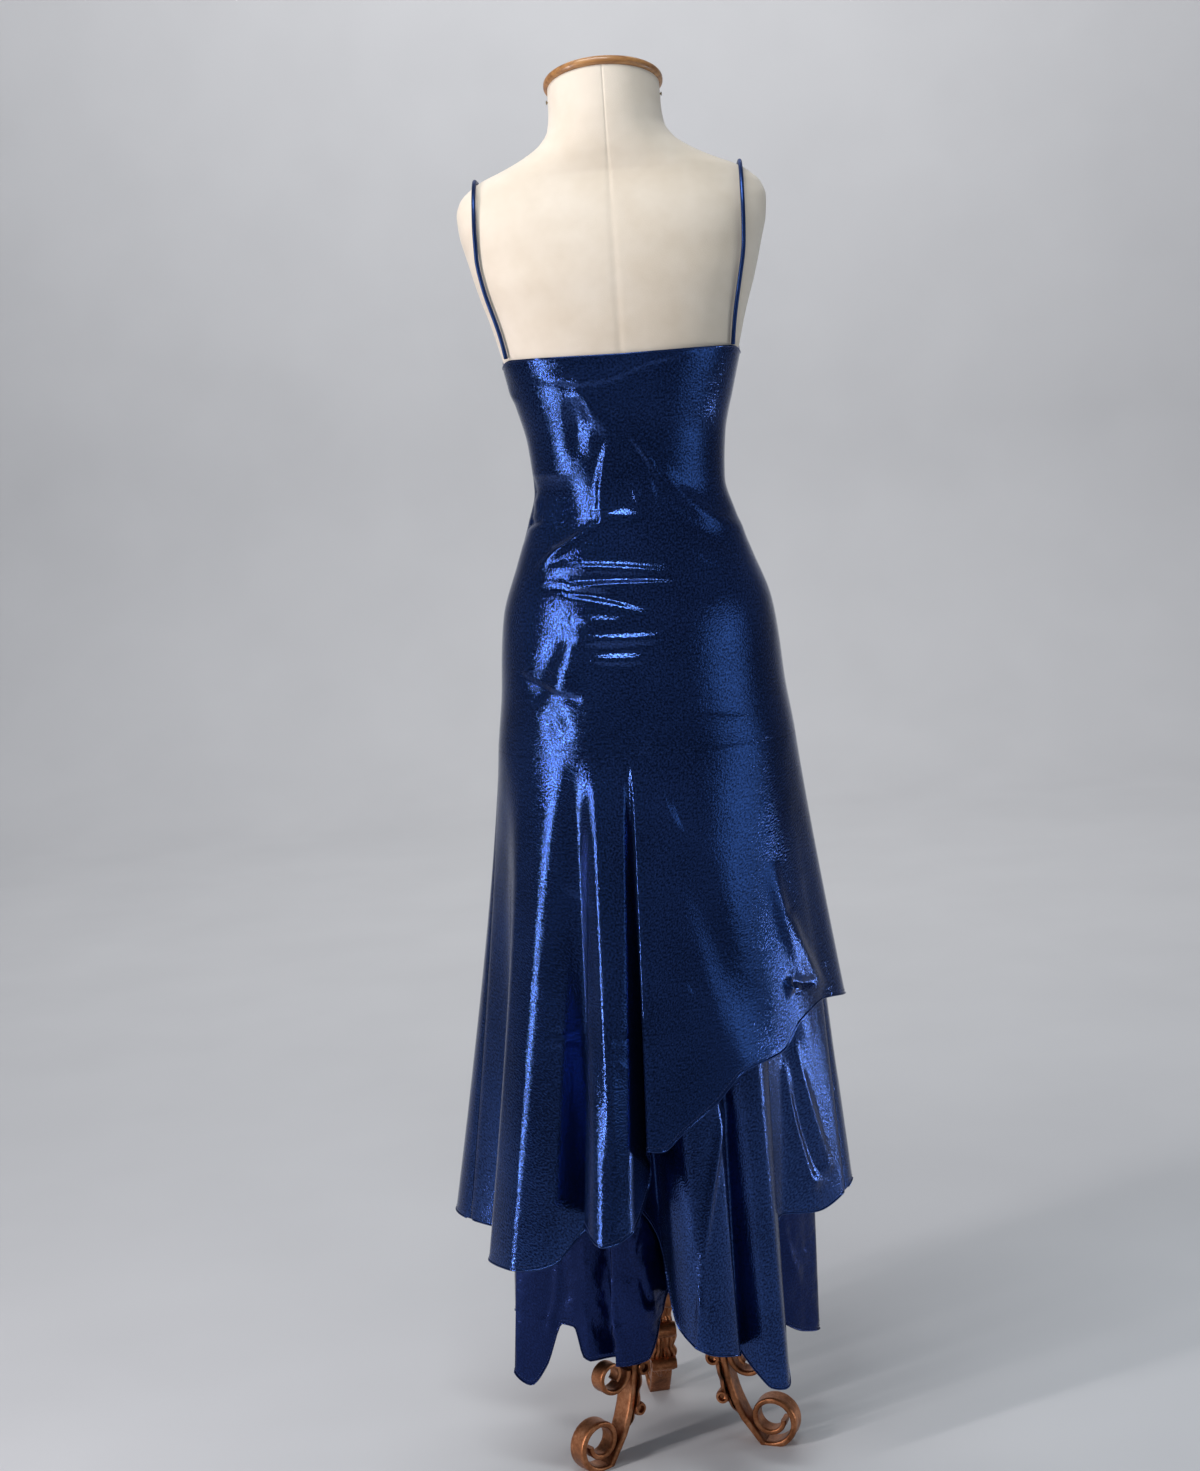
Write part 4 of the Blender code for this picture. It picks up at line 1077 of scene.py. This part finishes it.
# half of a boss, as shares of its radius and its width; the other half mirrors it
BOSS_SIDE = ((0.15, 0.30), (0.45, 0.34), (0.55, 0.50), (0.85, 0.50), (1.0, 0.36))
BOSS_PROFILE = [(r, -w) for r, w in BOSS_SIDE] + list(BOSS_SIDE[::-1])
upper = leg_stretch(0.0, len(LEG_LINE) - 1.0, 60)
foot = scroll_line(FOOT_CENTRE, FOOT_RADIUS, FOOT_START, FOOT_TURNS, FOOT_SHRINK, 90)
second = scroll_line(SCROLL_CENTRE, SCROLL_RADIUS, SCROLL_START, SCROLL_TURNS, SCROLL_SHRINK, 70)
for number, azimuth in enumerate(LEG_AZIMUTHS, 1):
    cast(bar("leg_bar_%d" % number, np.concatenate((upper[:-2], foot)), azimuth, LEG_THICK,
             LEG_THICK * FOOT_TIP, LEG_WIDTH), "leg_%d" % number)
    cast(bar("leg_curl_%d" % number, second, azimuth, LEG_THICK * SCROLL_THICK,
             LEG_THICK * SCROLL_TIP, LEG_WIDTH * SCROLL_WIDTH), "leg_scroll_%d" % number)
    for part, row in enumerate(LEAVES, 1):
        line = leg_stretch(row.first, row.last, 44)
        cast(leaf("leg_leaf_%d_%d" % (number, part), line, azimuth, row.width, row.lift, row.thick))
    for part, row in enumerate(BOSSES, 1):
        cast(boss("leg_boss_%d_%d" % (number, part), row, azimuth, LEG_WIDTH * BOSS_WIDTH))

# ---------------------------------------------------------------- floor, lights and camera
# A plain pale sweep of paper.  A tall narrow light at the left draws the long lines down the satin;
# a strip overhead, a broad weak light and a low slim one at the right fill in; another lights the
# paper behind.
CAMERA_PLACE = (0.0, -2.600, 1.310)
CAMERA_AIM = (-0.057, 0.0, 0.917)
CAMERA_ROLL = 4.0
LENS = 52.13
PAPER_FRONT = -8.0
PAPER_TURN = 4.2         # here the floor starts to curve up into the wall
PAPER_RADIUS = 1.2
PAPER_HEIGHT = 7.5
PAPER_HALF_WIDTH = 9.0

sweep_rows = [(PAPER_FRONT, 0.0), (PAPER_TURN, 0.0)]
for bend in np.linspace(0.1, math.pi / 2, 14):
    sweep_rows.append((PAPER_TURN + PAPER_RADIUS * math.sin(bend), PAPER_RADIUS * (1.0 - math.cos(bend))))
sweep_rows.append((PAPER_TURN + PAPER_RADIUS, PAPER_HEIGHT))
sweep_points = [(side, y, z) for y, z in sweep_rows for side in (-PAPER_HALF_WIDTH, PAPER_HALF_WIDTH)]
sweep_faces = [(2 * k, 2 * k + 1, 2 * k + 3, 2 * k + 2) for k in range(len(sweep_rows) - 1)]
sweep_mesh = bpy.data.meshes.new("paper_sweep")
sweep_mesh.from_pydata(sweep_points, [], sweep_faces)
sweep_mesh.shade_smooth()
paper_sweep = add_object("paper_sweep", sweep_mesh)
paper = Finish("paper", Roughness=0.9)
paper_tone = paper.noise(paper.place(), 3.0)
paper.feed(Base_Color=paper.ramp(paper_tone, (0.0, (0.60, 0.60, 0.61)), (1.0, (0.66, 0.66, 0.67))))
paper_sweep.data.materials.append(paper.material)

Light = namedtuple("Light", "name place aim width height power colour")
LIGHTS = (
    Light("tall_left", (-1.99, -1.20, 1.20), (0.0, 0.0, 0.85), 0.06, 2.2, 36.0, (1.0, 0.95, 0.96)),
    Light("overhead", (-0.40, -0.95, 3.00), (0.0, 0.0, 1.1), 1.5, 0.30, 28.0, (0.92, 0.97, 1.0)),
    Light("broad_right", (1.95, -1.05, 1.10), (0.0, 0.0, 1.15), 1.2, 1.1, 4.0, (0.65, 0.88, 1.0)),
    Light("slim_right", (1.90, 0.00, 0.25), (0.1, 0.0, 0.4), 0.08, 0.5, 6.0, (0.9, 0.95, 1.0)),
    Light("backdrop", (0.0, 2.2, 4.6), (0.0, 5.2, 1.4), 4.5, 0.8, 140.0, (1.0, 1.0, 1.0)),
)
for light in LIGHTS:
    lamp = bpy.data.lights.new(light.name, "AREA")
    lamp.shape = "RECTANGLE"
    lamp.size, lamp.size_y = light.width, light.height
    lamp.energy = light.power
    lamp.color = light.colour
    holder = add_object(light.name, lamp)
    here = Vector(light.place) + Vector(GOWN_AXIS)
    there = Vector(light.aim) + Vector(GOWN_AXIS)
    holder.location = here
    holder.rotation_euler = (there - here).to_track_quat("-Z", "Y").to_euler()

room = bpy.data.worlds.new("room")
room.use_nodes = True
sky = room.node_tree.nodes["Background"]
sky.inputs["Color"].default_value = (0.80, 0.86, 1.0, 1.0)
sky.inputs["Strength"].default_value = 0.19
bpy.context.scene.world = room
bpy.context.scene.view_settings.view_transform = "Standard"

lens = bpy.data.cameras.new("camera")
lens.lens = LENS
lens.sensor_width = 36.0
camera = add_object("camera", lens)
here, there = Vector(CAMERA_PLACE) + Vector(GOWN_AXIS), Vector(CAMERA_AIM) + Vector(GOWN_AXIS)
forward = (there - here).normalized()
level = forward.cross(Vector((0.0, 0.0, 1.0))).normalized()
upward = level.cross(forward)
roll = math.radians(CAMERA_ROLL)
right = level * math.cos(roll) - upward * math.sin(roll)
top = level * math.sin(roll) + upward * math.cos(roll)
axes = [(right[k], top[k], -forward[k], here[k]) for k in range(3)]
camera.matrix_world = Matrix(axes + [(0, 0, 0, 1)])
bpy.context.scene.camera = camera
